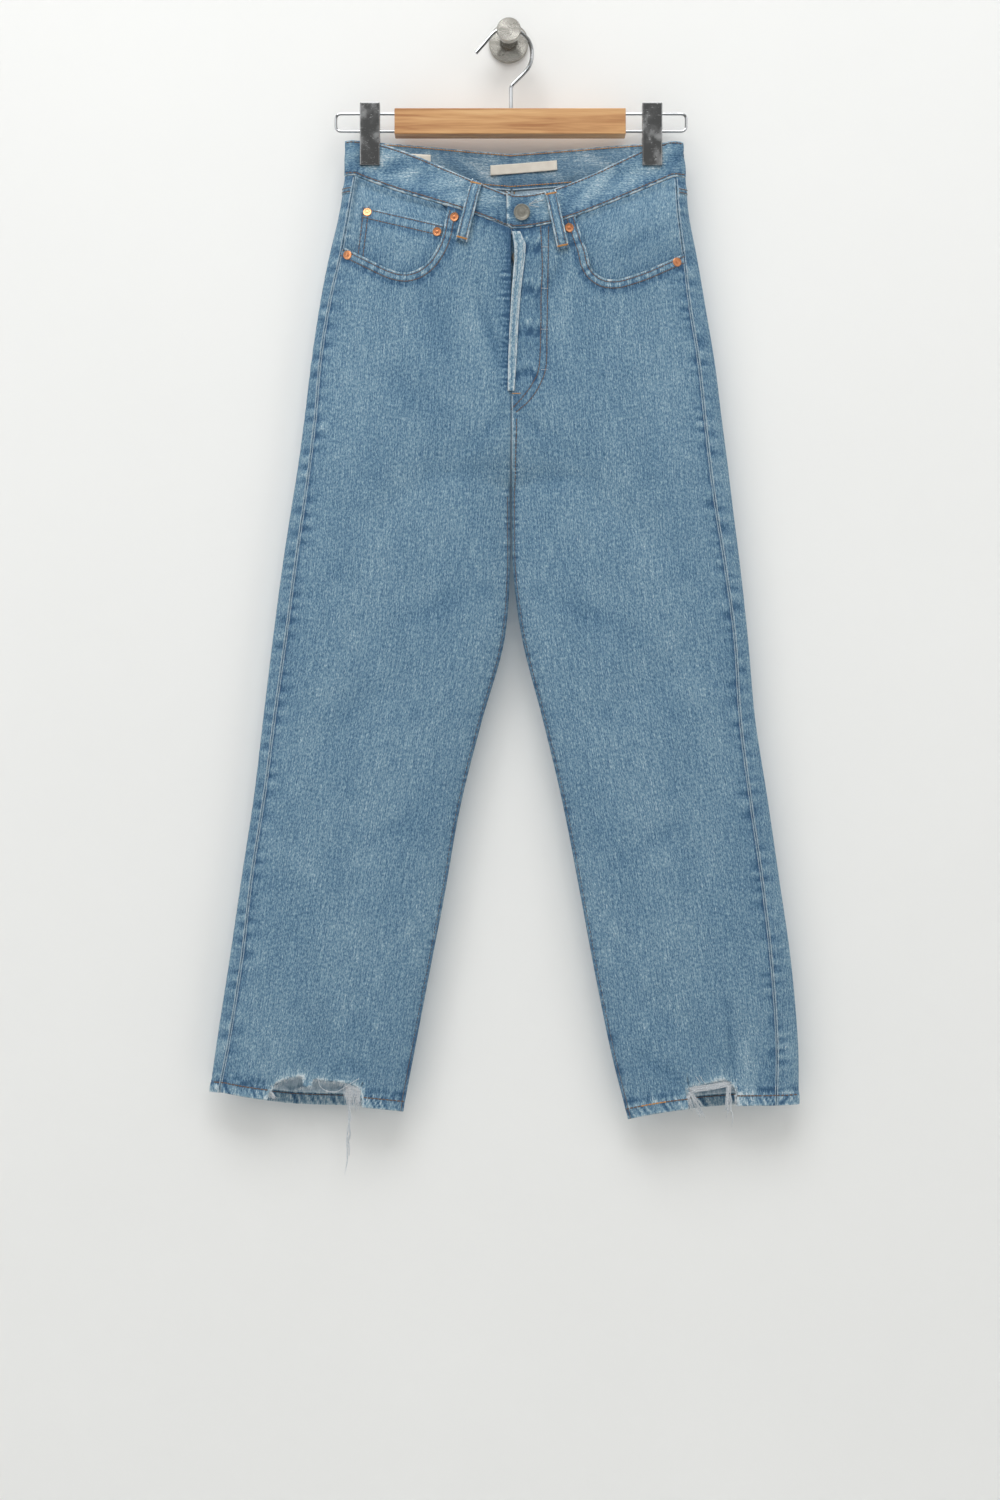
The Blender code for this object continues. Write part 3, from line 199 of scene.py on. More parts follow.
# Finer creases, which only the looks have. A negative depth is a ridge. The creases are also painted darker
# as shade, and the ridges lighter.
CREASES = {
    (RIGHT, FRONT): table(
        Fold,
        (36, 172, 9, 240, 5, 1.3),
        (47, 165, 22, 262, 9, -0.8),
        (96, 152, 60, 240, 13, 0.7),
        (6, 292, 58, 330, 8, 0.9),
        (5, 345, 92, 352, 9, 0.8),
        (130, 250, 66, 296, 14, 0.7),
        (30, 470, 118, 505, 12, 0.8),
        (90, 700, 150, 742, 12, 0.7),
        (210, 770, 268, 716, 12, -0.7),
        (178, 968, 192, 990, 6, 1.4),
        (150, 985, 168, 962, 7, 0.9),
        (247, 985, 284, 992, 5, 1.1),
    ),
    (LEFT, FRONT): table(
        Fold,
        (56, 130, 30, 180, 6, 1.3),
        (66, 128, 52, 205, 7, -0.8),
        (30, 205, 58, 276, 11, 0.8),
        (6, 290, 70, 336, 8, 0.9),
        (8, 355, 84, 356, 9, 0.8),
        (112, 120, 158, 96, 7, 0.9),
        (40, 480, 130, 520, 12, 0.8),
        (110, 760, 176, 718, 12, 0.7),
        (226, 905, 233, 985, 5, 1.4),
        (247, 948, 243, 1002, 6, -1.0),
        (140, 962, 196, 1000, 8, 1.2),
        (262, 985, 274, 940, 8, 0.8),
    ),
    (RIGHT, BACK): table(
        Fold,
        (12, 240, 96, 330, 12, 1.2),
        (40, 470, 160, 500, 13, 1.1),
        (110, 590, 240, 610, 12, 1.1),
    ),
    (LEFT, BACK): table(
        Fold,
        (12, 250, 90, 335, 12, 1.2),
        (40, 480, 150, 500, 13, 1.1),
        (100, 600, 236, 606, 12, 1.1),
    ),
}
Spot = namedtuple("Spot", "x drop")
OPENINGS = {
    RIGHT: table(
        Spot,
        (65.4, 76),
        (68.5, 90),
        (71.5, 105),
        (77.3, 119),
        (86, 131.5),
        (98, 140),
        (111, 142.7),
        (126, 139),
        (145, 129.5),
        (175, 113.5),
    ),
    LEFT: table(
        Spot,
        (65, 80),
        (71, 101),
        (77.5, 119),
        (81, 133.5),
        (87, 143),
        (97, 149),
        (110.5, 149.6),
        (126.5, 145),
        (146.5, 137),
        (180, 120.5),
    ),
}
Tear = namedtuple("Tear", "across height")
TEARS = {
    RIGHT: table(
        Tear,
        (0.211, 0),
        (0.230, 15.8),
        (0.261, 21.8),
        (0.300, 22.8),
        (0.343, 23.5),
        (0.382, 24.4),
        (0.432, 24),
        (0.477, 25.5),
        (0.486, 17.3),
        (0.528, 16.7),
        (0.538, 27.4),
        (0.583, 25.5),
        (0.624, 23.2),
        (0.655, 19.3),
        (0.671, 15.6),
        (0.688, 8.6),
        (0.701, 0),
    ),
    LEFT: table(
        Tear,
        (0.354, 0),
        (0.352, 10),
        (0.362, 17),
        (0.369, 22),
        (0.405, 22.5),
        (0.448, 23.1),
        (0.490, 24.4),
        (0.530, 25.8),
        (0.568, 26.8),
        (0.596, 26.3),
        (0.624, 20.5),
        (0.639, 12.3),
        (0.633, 0),
    ),
}
COIN_INSET = LAYER + 0.2
FACING_INSETS = {RIGHT: 2 * LAYER + 0.35, LEFT: LAYER + 0.7}
COIN_CORNERS = [Spot(156, 70.3), Spot(70.8, 93.4), Spot(77, 150), Spot(163.5, 137)]
COIN_RIVETS = [(150.8, 74.8), (77.8, 95.0)]
POCKET_RIVETS = {RIGHT: [(59.4, 79.0), (171.2, 120.0)], LEFT: [(62.0, 90.1), (174.1, 126.9)]}
BACK_POCKET = [Spot(158, 118), Spot(34, 128), Spot(44, 250), Spot(150, 240)]
BACK_POCKET_POINT = 22.0
Strip = namedtuple("Strip", "drop first second")
FLY_FOLD = table(
    Strip,
    (102, 1.0, 9.0),
    (115, 3.3, 15),
    (128, 3.6, 14.3),
    (145, 2.2, 12),
    (162, 0.7, 9.9),
    (196, -1.4, 7.3),
    (231, -2.9, 5.4),
    (266, -3.5, 3.1),
)
FLY_FOLD_THICK, FLY_UNDER_TOP, FLY_UNDER_FOOT, BUTTON_DEPTH = 1.8, 104, 262.0, 4.9
BAND_END, BAND_UNDER = -5.0, 30.0
LOOP_WIDTH, LOOP_THICK, LOOP_BOW = 12.0, 2.0, 2.2
Loop = namedtuple("Loop", "name side face top_x top_drop foot_x foot_drop")
LOOPS = table(
    Loop,
    ("front_right", RIGHT, FRONT, 34.8, 49, 51.4, 111),
    ("front_left", LEFT, FRONT, 39.7, 60, 53.5, 119),
    ("side_right", RIGHT, BACK, 112, 4.5, 112, 58),
    ("side_left", LEFT, BACK, 112, 4.5, 112, 58),
    ("centre_back", RIGHT, BACK, 0.5, 14.5, 0.5, 66),
)
LABEL_THICK = 0.8
SIZE_LABEL = [Spot(48.3, 19), Spot(-21.8, 24), Spot(-21.8, 34.5), Spot(48.8, 29)]
CARE_LABEL = [Spot(106, 13), Spot(84.6, 14), Spot(84.6, 38), Spot(106, 37)]


# ---------------------------------------------------------------- the skin
def smooth(values, place):
    """The values at places between a table's rows, on a cubic through them."""
    values, place = np.asarray(values, float), np.asarray(place, float)
    row = np.clip(np.floor(place).astype(int), 0, len(values) - 2)
    share = place - row
    first, last = values[row], values[row + 1]
    before = np.where(row > 0, values[row - 1], 2 * first - last)
    after = np.where(
        row + 2 < len(values), values[np.minimum(row + 2, len(values) - 1)], 2 * last - first
    )
    rise_in, rise_out = (last - before) / 2, (after - first) / 2
    square, cube = share**2, share**3
    return (
        first * (2 * cube - 3 * square + 1)
        + rise_in * (cube - 2 * square + share)
        + last * (3 * square - 2 * cube)
        + rise_out * (cube - square)
    )


COLUMNS = {
    (side, field): [getattr(row, field) for row in OUTLINES[side]]
    for side in (RIGHT, LEFT)
    for field in Outline._fields
}
for (_side, _face), _bends in BENDS.items():
    for _k, _field in enumerate(("third", "two_thirds")):
        COLUMNS[_side, _face, _field] = [_bends.get(row, (0, 0))[_k] for row in range(len(FORMS))]
FORM_COLUMNS = {field: [getattr(form, field) for form in FORMS] for field in Form._fields}


def clip_depth(x, outer, half_depth, drop):
    """Half the depth where the clips pinch the waist: full inside them, flat in them, an ear past them."""
    held_from, held_to = CLIP_X - CLIP_HALF, CLIP_X + CLIP_HALF
    held = PINCH + SPRING * np.maximum(drop - PINCH_FROM, 0)
    inside = held + (half_depth - held) * np.cos(np.pi / 2 * np.minimum(x / held_from, 1)) ** 2
    past = np.clip((x - held_to) / (outer - held_to), 0, 1)
    ear = (held + EAR * np.sin(np.pi * past)) * np.sqrt(1 - past**3)
    return np.where(x < held_from, inside, np.where(x < held_to, held, ear))


def trough(folds, side, face, x, drop):
    """How far folds push the cloth in at each point."""
    total = np.zeros(np.broadcast(x, drop).shape)
    for fold in folds[side, face]:
        along_x, along_drop = fold.x1 - fold.x0, fold.drop1 - fold.drop0
        length = along_x**2 + along_drop**2
        near = np.clip(((x - fold.x0) * along_x + (drop - fold.drop0) * along_drop) / length, 0, 1)
        far = (x - fold.x0 - near * along_x) ** 2 + (drop - fold.drop0 - near * along_drop) ** 2
        total = total + fold.depth * np.exp(-far / fold.width**2) * (0.5 + 0.5 * np.sin(np.pi * near))
    return total


def skin_of(side, face, place, across):
    """Points in the middle of the cloth on one side and face."""
    inner, outer = smooth(COLUMNS[side, "inner"], place), smooth(COLUMNS[side, "outer"], place)
    inner_drop = smooth(COLUMNS[side, "front_drop" if face == FRONT else "back_drop"], place)
    outer_drop = smooth(COLUMNS[side, "outer_drop"], place)
    half_depth = smooth(FORM_COLUMNS["front" if face == FRONT else "back"], place)
    legs = np.clip(smooth(FORM_COLUMNS["legs"], place), 0, 1)
    x = inner + (outer - inner) * across
    slope = np.minimum(np.abs(across) / SLOPE_END, 1)
    drop = inner_drop + (outer_drop - inner_drop) * slope
    bent = smooth(COLUMNS[side, face, "third"], place) * slope * (1 - slope) ** 2
    bent += smooth(COLUMNS[side, face, "two_thirds"], place) * slope**2 * (1 - slope)
    drop = drop + np.copysign(6.75, across) * bent
    faded = np.clip((drop - PINCH_FROM) / (PINCH_TO - PINCH_FROM), 0, 1)
    pinch = 1 - faded * faded * (3 - 2 * faded)
    turn = np.minimum(np.abs(across * (1 + legs) - legs), 1)
    depth = half_depth * (1 - turn**CROWN) ** ROUNDING
    depth = depth + (clip_depth(np.abs(x), outer, half_depth, drop) - depth) * pinch
    depth = depth - trough(FOLDS, side, face, x, drop) * np.minimum(depth / half_depth, 1)
    depth = np.maximum(depth, np.where(across < 0.5, LAYER / 2, 0))
    return np.stack([CENTRE_X + side * x, HANG_Y + face * depth, WAIST_Z - drop], axis=-1)


def skin(side, face, place, across):
    """Points in the middle of the cloth. Every argument may be an array."""
    side, face, place, across = np.broadcast_arrays(side, face, place, across)
    place, across = place.astype(float), across.astype(float)
    points = np.empty(place.shape + (3,))
    for s in (RIGHT, LEFT):
        for f in (FRONT, BACK):
            here = (side == s) & (face == f)
            if here.any():
                points[here] = skin_of(s, f, place[here], across[here])
    return points


def unit(vectors):
    """The vectors at a length of one."""
    return vectors / np.maximum(np.linalg.norm(vectors, axis=-1, keepdims=True), 1e-9)


def outward(side, face, place, across):
    """Which way is out of the garment at each point."""
    side, face, place, across = np.broadcast_arrays(side, face, place, across)
    step = 1e-4
    low, high = np.maximum(across - step, PAST_CENTRE), np.minimum(across + step, 1)
    up, down = np.maximum(place - 0.02, 0), np.minimum(place + 0.02, len(FORMS) - 1)
    along = skin(side, face, place, high) - skin(side, face, place, low)
    downward = skin(side, face, down, across) - skin(side, face, up, across)
    normal = unit(np.cross(along, downward) * (side * face)[..., None])
    at_fold = across > 1 - 2 * step
    normal[at_fold] = np.stack([side[at_fold], 0 * side[at_fold], 0 * side[at_fold]], axis=-1)
    return normal


def find(side, face, x, drop):
    """The places and shares across of points given by their distances out and drops."""
    x, drop = np.broadcast_arrays(np.asarray(x, float), np.asarray(drop, float))
    low, high = np.zeros(x.shape), np.full(x.shape, float(len(FORMS) - 1))
    for _ in range(34):
        place = (low + high) / 2
        inner, outer = smooth(COLUMNS[side, "inner"], place), smooth(COLUMNS[side, "outer"], place)
        across = np.clip((x - inner) / (outer - inner), PAST_CENTRE, 1)
        short = WAIST_Z - skin_of(side, face, place, across)[..., 2] < drop
        low, high = np.where(short, place, low), np.where(short, high, place)
    return place, across


def width_at(side, place):
    return smooth(COLUMNS[side, "outer"], place) - smooth(COLUMNS[side, "inner"], place)


def seam_across(side, place):
    """The share across at which the outseam lies on the front."""
    return 1 - smooth(COLUMNS[side, "outseam"], place) / width_at(side, place)


def gap_across(side, place):
    return SEAM_GAP / 2 / width_at(side, place)


def short_of_outseam(side, place):
    """The share across at which a front piece ends, half a gap before the outseam."""
    return seam_across(side, place) - gap_across(side, place)


def along_line(stops, count):
    """Points evenly spaced along a line through stops, each an (x, y) pair."""
    stops = np.array(stops, float)
    lengths = np.concatenate([[0], np.cumsum(np.linalg.norm(np.diff(stops, axis=0), axis=1))])
    wanted = np.linspace(0, lengths[-1], count)
    return np.stack([np.interp(wanted, lengths, stops[:, k]) for k in (0, 1)], axis=1)


def curved(stops, count):
    """Points evenly spaced along a smooth curve through stops."""
    stops = np.array(stops, float)
    places = np.linspace(0, len(stops) - 1, 8 * len(stops))
    return along_line(np.stack([smooth(stops[:, k], places) for k in (0, 1)], axis=1), count)


def beside(line, distance):
    """A line moved sideways by a distance, to its left as it runs with y downwards."""
    line = np.asarray(line, float)
    heading = unit(np.gradient(line, axis=0))
    return line + distance * np.stack([heading[:, 1], -heading[:, 0]], axis=1)


def above_hem(side, face, across, height):
    """The places at heights above the hem's lower edge."""
    across, height = np.broadcast_arrays(np.asarray(across, float), np.asarray(height, float))
    hem_z = hem_edge(side, face, across)
    low, high = np.full(across.shape, float(ANKLE) - 1), np.full(across.shape, float(HEM))
    for _ in range(26):
        place = (low + high) / 2
        over = skin_of(side, face, place, across)[..., 2] - hem_z > height
        low, high = np.where(over, place, low), np.where(over, high, place)
    return np.where(height <= 0, float(HEM), place)


def hem_edge(side, face, across):
    """The height of the hem's lower edge at each share across."""
    return skin_of(side, face, np.full(across.shape, float(HEM)), across)[..., 2]


def laid(side, face, place, across):
    """Points of the skin, and which way is out of the garment there."""
    return skin(side, face, place, across), outward(side, face, place, across)


def seen_from_front(points, side):
    """How far out from the centre each point lies, and its drop."""
    return (points[..., 0] - CENTRE_X) * side, WAIST_Z - points[..., 2]


def off_line(x, drop, line):
    """The distance of points from a line, and how far along it they lie."""
    line = np.asarray(line, float)
    best, along = np.full(x.shape, 1e9), np.zeros(x.shape)
    start = 0.0
    for (ax, ay), (bx, by) in zip(line, line[1:]):
        dx, dy = bx - ax, by - ay
        length = math.hypot(dx, dy)
        near = np.clip(((x - ax) * dx + (drop - ay) * dy) / max(length**2, 1e-9), 0, 1)
        far = np.hypot(x - ax - near * dx, drop - ay - near * dy)
        closer = far < best
        best, along = np.where(closer, far, best), np.where(closer, start + near * length, along)
        start += length
    return best, along


# ---------------------------------------------------------------- sewing's marks in the cloth
def bell(distance, width):
    """1 at no distance, falling smoothly to nothing past about twice the width."""
    return np.exp(-((distance / width) ** 2))


def after(value, start, over):
    """0 before a start, rising to 1 over a length past it."""
    return np.clip((value - start) / over, 0, 1)


def before(value, end, over):
    """1 well before an end, falling to 0 over the length up to it."""
    return np.clip((end - value) / over, 0, 1)


def wander(along, seed, wavelength):
    """A smooth uneven line between about -1 and 1."""
    chance = np.random.default_rng(seed)
    total = np.zeros(np.shape(along))
    for _ in range(6):
        wave = 2 * np.pi * along / (wavelength * chance.uniform(0.55, 2.1))
        total += np.sin(wave + chance.uniform(0, FULL_TURN))
    return total / 2.6


def pucker(distance, along, pitch, reach, seed, start=0.0):
    """The uneven waves that a shrunken seam draws across the cloth beside it, from -1 to 1. Where they also
    colour the cloth, the hollows get painted shade, and the crests are made pale as wear and painted light
    together.
    """
    phase = 2 * np.pi * along / pitch + 2.3 * wander(along, seed, 5 * pitch)
    strong = np.clip(0.62 + 0.55 * wander(along, seed + 1, 3 * pitch), 0.05, 1.2)
    return np.sin(phase) * strong * bell(np.maximum(distance - start, 0), reach)


def blotched(wave):
    """Seam waves in the colour, partly wear and partly painted shade: the hollows are painted much bluer than
    the crests are made pale.
    """
    return np.where(wave < 0, 1.35, 0.6) * wave


def band_rise(distance, width, height):
    """A folded or doubled edge stands out as far as its width, and slopes off over 1.5 mm."""
    return height * np.clip((width - distance) / 1.5 + 0.5, 0, 1)


def groove(distance, row, depth=0.4, half_width=1.1):
    """A row of stitches pulls the cloth in."""
    return -depth * bell(distance - row, half_width)


def sewn(distance, *rows, dark=0.45, half_width=1.25):
    """Painted shade along each row of stitches, the dark of its groove, with the unworn dye where wear
    doesn't reach.
    """
    return -dark * sum(bell(distance - row, half_width) for row in rows)


def edge_wear(distance, seed, along, reach=1.3, strength=0.9):
    """The pale line that wear leaves on an edge."""
    uneven = np.clip(0.75 + 0.5 * wander(along, seed, 16), 0.2, 1.3)
    return strength * bell(distance, reach) * uneven


def flat_at(spots, x, drop):
    """0 under the rivets at the named spots, where the cloth is pressed flat, and 1 away from them."""
    share = np.ones(np.shape(x))
    for spot_x, spot_drop in spots:
        share = share * (1 - np.exp(-((np.hypot(x - spot_x, drop - spot_drop) / 6.5) ** 4)))
    return share


# ---------------------------------------------------------------- finishes
class Nodes:
    """The shader nodes of one tree, with short ways to add and join them."""

    def __init__(self, tree):
        self.nodes, self.links = tree.nodes, tree.links

    def fill(self, socket, value):
        """Links a socket to another, or gives it a value."""
        if isinstance(value, bpy.types.NodeSocket):
            self.links.new(value, socket)
        else:
            socket.default_value = value

    def set(self, node, **inputs):
        """Inputs go by their names, with _ for a space."""
        for name, value in inputs.items():
            self.fill(node.inputs[name.replace("_", " ")], value)

    def add(self, kind, settings=(), **inputs):
        node = self.nodes.new("ShaderNode" + kind)
        for name, value in dict(settings).items():
            setattr(node, name, value)
        self.set(node, **inputs)
        return node

    def place(self):
        """Where each point lies on its object."""
        return self.add("TexCoord").outputs["Object"]

    def math(self, operation, *values):
        node = self.add("Math", {"operation": operation})
        for socket, value in zip(node.inputs, values):
            self.fill(socket, value)
        return node.outputs[0]

    def total(self, first, *others):
        for other in others:
            first = self.math("ADD", first, other)
        return first

    def times(self, source, factor):
        return self.math("MULTIPLY", source, factor)

    def stretched(self, source, scale, turn=0.0):
        return self.add("Mapping", Vector=source, Scale=scale, Rotation=(0, 0, turn)).outputs["Vector"]

    def noise(self, source, scale=1.0, detail=2.0, distortion=0.0):
        noise = self.add("TexNoise", Vector=source, Scale=scale, Detail=detail, Distortion=distortion)
        return noise.outputs["Fac"]

    def wave(self, source, settings, **inputs):
        return self.add("TexWave", settings, Vector=source, **inputs).outputs["Fac"]

    def spread(self, source, low, high, to_low, to_high):
        """Eases from to_low to to_high while the source goes from low to high."""
        ranged = self.add("MapRange", {"interpolation_type": "SMOOTHSTEP"}, Value=source)
        self.set(ranged, From_Min=low, From_Max=high, To_Min=to_low, To_Max=to_high)
        return ranged.outputs["Result"]

    def ramp(self, source, *stops):
        """A colour for each source value, between stops of (value, colour)."""
        ramp = self.add("ValToRGB", Fac=source)
        elements = ramp.color_ramp.elements
        while len(elements) < len(stops):
            elements.new(0.5)
        for element, (value, colour) in zip(elements, stops):
            element.position, element.color = value, (*colour, 1)
        return ramp.outputs["Color"]

    def bump(self, height, strength, distance):
        return self.add("Bump", Height=height, Strength=strength, Distance=distance).outputs["Normal"]


def new_finish(name):
    made = bpy.data.materials.new(name)
    made.use_nodes = True
    nodes = Nodes(made.node_tree)
    return made, nodes, nodes.nodes["Principled BSDF"]


def new_group(name, vector_input, inputs, outputs):
    """A node group with one vector input, number inputs with their usual values, and number outputs."""
    group = bpy.data.node_groups.new(name, "ShaderNodeTree")
    sockets = group.interface
    sockets.new_socket(name=vector_input, in_out="INPUT", socket_type="NodeSocketVector")
    for label, value in inputs.items():
        sockets.new_socket(name=label, in_out="INPUT", socket_type="NodeSocketFloat").default_value = value
    for label in outputs:
        sockets.new_socket(name=label, in_out="OUTPUT", socket_type="NodeSocketFloat")
    given = group.nodes.new("NodeGroupInput").outputs
    return group, Nodes(group), given, group.nodes.new("NodeGroupOutput")


def washed_denim_group():
    """How light each point of the washed cloth is, and its height: slubs, crinkled flecks, the twill, and the
    wear and painted shade that it is given.
    """
    group, nodes, given, made = new_group(
        "washed_denim", "Grain", {"Fade": 0.0, "Contrast": 1.0}, ("Lightness", "Height")
    )
    grain = given["Grain"]
    slubs = nodes.noise(nodes.stretched(grain, (950, 40, 1)))
    flecks = nodes.noise(nodes.stretched(grain, (600, 165, 1), 0.06), detail=1.5, distortion=0.4)
    crinkle = nodes.noise(nodes.stretched(grain, (760, 330, 1), -0.08), distortion=0.35)
    threads = nodes.noise(nodes.stretched(grain, (1500, 800, 1)), detail=1)
    clouds = nodes.noise(nodes.stretched(grain, (22, 7, 1)), detail=3)
    across_twill = nodes.stretched(grain, (430, 300, 1))
    twill = nodes.wave(across_twill, {"bands_direction": "DIAGONAL"}, Scale=1.0, Distortion=1.5)
    # Pale worms run where the flecks' noise crosses its middle value.
    from_middle = nodes.math("ABSOLUTE", nodes.math("SUBTRACT", flecks, 0.5))
    texture = nodes.total(
        nodes.spread(slubs, 0.3, 0.7, -0.13, 0.10),
        nodes.times(nodes.spread(from_middle, 0.0, 0.11, 1.0, 0.0), 0.13),
        nodes.spread(crinkle, 0.3, 0.7, -0.20, 0.15),
        nodes.spread(threads, 0.25, 0.75, -0.10, 0.10),
    )
    strength = nodes.times(texture, given["Contrast"])
    cloudy = nodes.spread(clouds, 0.3, 0.7, -0.05, 0.05)
    # The wear, and the shade and light painted on the cloth, from its fade attribute.
    faded = nodes.times(given["Fade"], WEAR_AND_SHADING_STRENGTH)
    lightness = nodes.total(strength, cloudy, faded, USUAL_LIGHTNESS)
    height = nodes.total(nodes.times(texture, 1.5), nodes.times(twill, 0.16))
    nodes.set(made, Lightness=lightness, Height=height)
    return group


WEAR_AND_SHADING_STRENGTH, USUAL_LIGHTNESS = 0.42, 0.445
WASHED_DENIM = washed_denim_group()


def denim(name, contrast, bump, *stops):
    made, nodes, shader = new_finish(name)
    look = nodes.add("Group", {"node_tree": WASHED_DENIM}, Contrast=contrast)
    grain = nodes.add("UVMap", {"uv_map": "grain"}).outputs["UV"]
    fade = nodes.add("Attribute", {"attribute_name": "fade"}).outputs["Fac"]
    nodes.set(look, Grain=grain, Fade=fade)
    nodes.set(shader, Base_Color=nodes.ramp(look.outputs["Lightness"], *stops))
    nodes.set(shader, Roughness=0.92, Specular_IOR_Level=0.2, Sheen_Weight=0.08)
    nodes.set(shader, Normal=nodes.bump(look.outputs["Height"], bump, 0.0012))
    return made


DENIM_FACE = denim(
    "denim_face",
    1.12,
    0.55,
    (0.0, (0.040, 0.100, 0.190)),
    (0.28, (0.090, 0.185, 0.290)),
    (0.5, (0.160, 0.275, 0.372)),
    (0.72, (0.270, 0.400, 0.490)),
    (1.0, (0.560, 0.640, 0.680)),
)
DENIM_REVERSE = denim(
    "denim_reverse",
    0.8,
    0.5,
    (0.0, (0.195, 0.300, 0.400)),
    (0.45, (0.400, 0.522, 0.618)),
    (0.75, (0.560, 0.664, 0.738)),
    (1.0, (0.750, 0.810, 0.850)),
)
DENIM_REVERSE_BAND = denim(
    "denim_inside_band",
    1.0,
    0.5,
    (0.0, (0.060, 0.130, 0.220)),
    (0.35, (0.120, 0.215, 0.310)),
    (0.6, (0.190, 0.300, 0.390)),
    (1.0, (0.520, 0.600, 0.650)),
)
BOTH_SIDES = (DENIM_FACE, DENIM_REVERSE)


def yarn(name, colour, darker, roughness=0.75):
    """A spun thread, with its ply showing as fine light and dark."""
    made, nodes, shader = new_finish(name)
    ply = nodes.noise(nodes.stretched(nodes.place(), (900, 900, 900)))
    nodes.set(shader, Base_Color=nodes.ramp(ply, (0.3, darker), (0.7, colour)), Roughness=roughness)
    nodes.set(shader, Sheen_Weight=0.15, Normal=nodes.bump(ply, 0.4, 0.0003))
    return made


BROWN_THREAD = yarn("brown_thread", (0.185, 0.120, 0.092), (0.085, 0.062, 0.054))
ORANGE_THREAD = yarn("orange_thread", (0.600, 0.300, 0.090), (0.360, 0.165, 0.052))
PALE_THREAD = yarn("pale_thread", (0.500, 0.540, 0.560), (0.330, 0.380, 0.420))
LOOSE_THREAD = yarn("loose_thread_white", (0.760, 0.780, 0.800), (0.480, 0.530, 0.580), 0.85)
DENIM_RIDGE = yarn("denim_ridge", (0.470, 0.560, 0.610), (0.220, 0.320, 0.410), 0.9)


def woven_label():
    made, nodes, shader = new_finish("woven_label_cream")
    place = nodes.place()
    ribs = nodes.wave(place, {"bands_direction": "Z"}, Scale=700, Distortion=0.6)
    soil = nodes.noise(place, scale=90, detail=4)
    both = nodes.total(nodes.times(ribs, 0.35), nodes.times(soil, 0.65))
    nodes.set(shader, Base_Color=nodes.ramp(both, (0.25, (0.72, 0.66, 0.57)), (0.75, (0.92, 0.86, 0.76))))
    nodes.set(shader, Roughness=0.8, Normal=nodes.bump(ribs, 0.5, 0.0004))
    return made


WOVEN_LABEL = woven_label()


def worn_metal_group():
    """Scratches and smears on metal: a mask, and a roughness made from it."""
    group, nodes, given, made = new_group(
        "worn_metal", "Place", {"Polish": 0.2, "Smear": 0.2}, ("Roughness", "Wear")
    )
    smears = nodes.noise(nodes.stretched(given["Place"], (60, 60, 45)), detail=5)
    fine = nodes.noise(nodes.stretched(given["Place"], (260, 260, 900), 0.5), detail=4, distortion=0.6)
    wear = nodes.total(nodes.spread(smears, 0.4, 0.7, 0.0, 0.7), nodes.spread(fine, 0.62, 0.72, 0.0, 0.5))
    rough = nodes.math("MULTIPLY_ADD", wear, given["Smear"], given["Polish"])
    nodes.set(made, Roughness=rough, Wear=wear)
    return group


WORN_METAL = worn_metal_group()


def metal(name, clean, worn, polish, smear, rings=None, brushed=0.0):
    """Plated or turned metal. rings is the spacing of turning marks round Y, in metres."""
    made, nodes, shader = new_finish(name)
    place = nodes.place()
    wear = nodes.add("Group", {"node_tree": WORN_METAL}, Polish=polish, Smear=smear, Place=place)
    colour = nodes.ramp(wear.outputs["Wear"], (0.15, clean), (0.9, worn))
    nodes.set(shader, Base_Color=colour, Roughness=wear.outputs["Roughness"], Metallic=1)
    if rings:
        turning = {"wave_type": "RINGS", "rings_direction": "Y"}
        marks = nodes.wave(place, turning, Scale=1 / rings, Distortion=0.4)
        nodes.set(shader, Normal=nodes.bump(marks, 0.35, 0.0002))
    if brushed:
        round_y = nodes.add("Tangent", {"direction_type": "RADIAL", "axis": "Y"})
        nodes.set(shader, Anisotropic=brushed, Tangent=round_y.outputs["Tangent"])
    return made


COPPER = metal("rivet_copper", (0.66, 0.30, 0.15), (0.40, 0.17, 0.09), 0.26, 0.3)
OLD_NICKEL = metal("button_nickel", (0.36, 0.35, 0.31), (0.17, 0.17, 0.145), 0.30, 0.3)
CHROME = metal("wire_chrome", (0.36, 0.37, 0.38), (0.28, 0.29, 0.30), 0.12, 0.12)
# The clips' chrome is made dark, a painted reflection of the dark room in front of it.
CLIP_CHROME = metal("clip_chrome", (0.170, 0.173, 0.175), (0.42, 0.425, 0.43), 0.14, 0.35)
STEEL = metal("turned_steel", (0.37, 0.36, 0.33), (0.27, 0.26, 0.235), 0.22, 0.12, rings=0.0006, brushed=0.85)


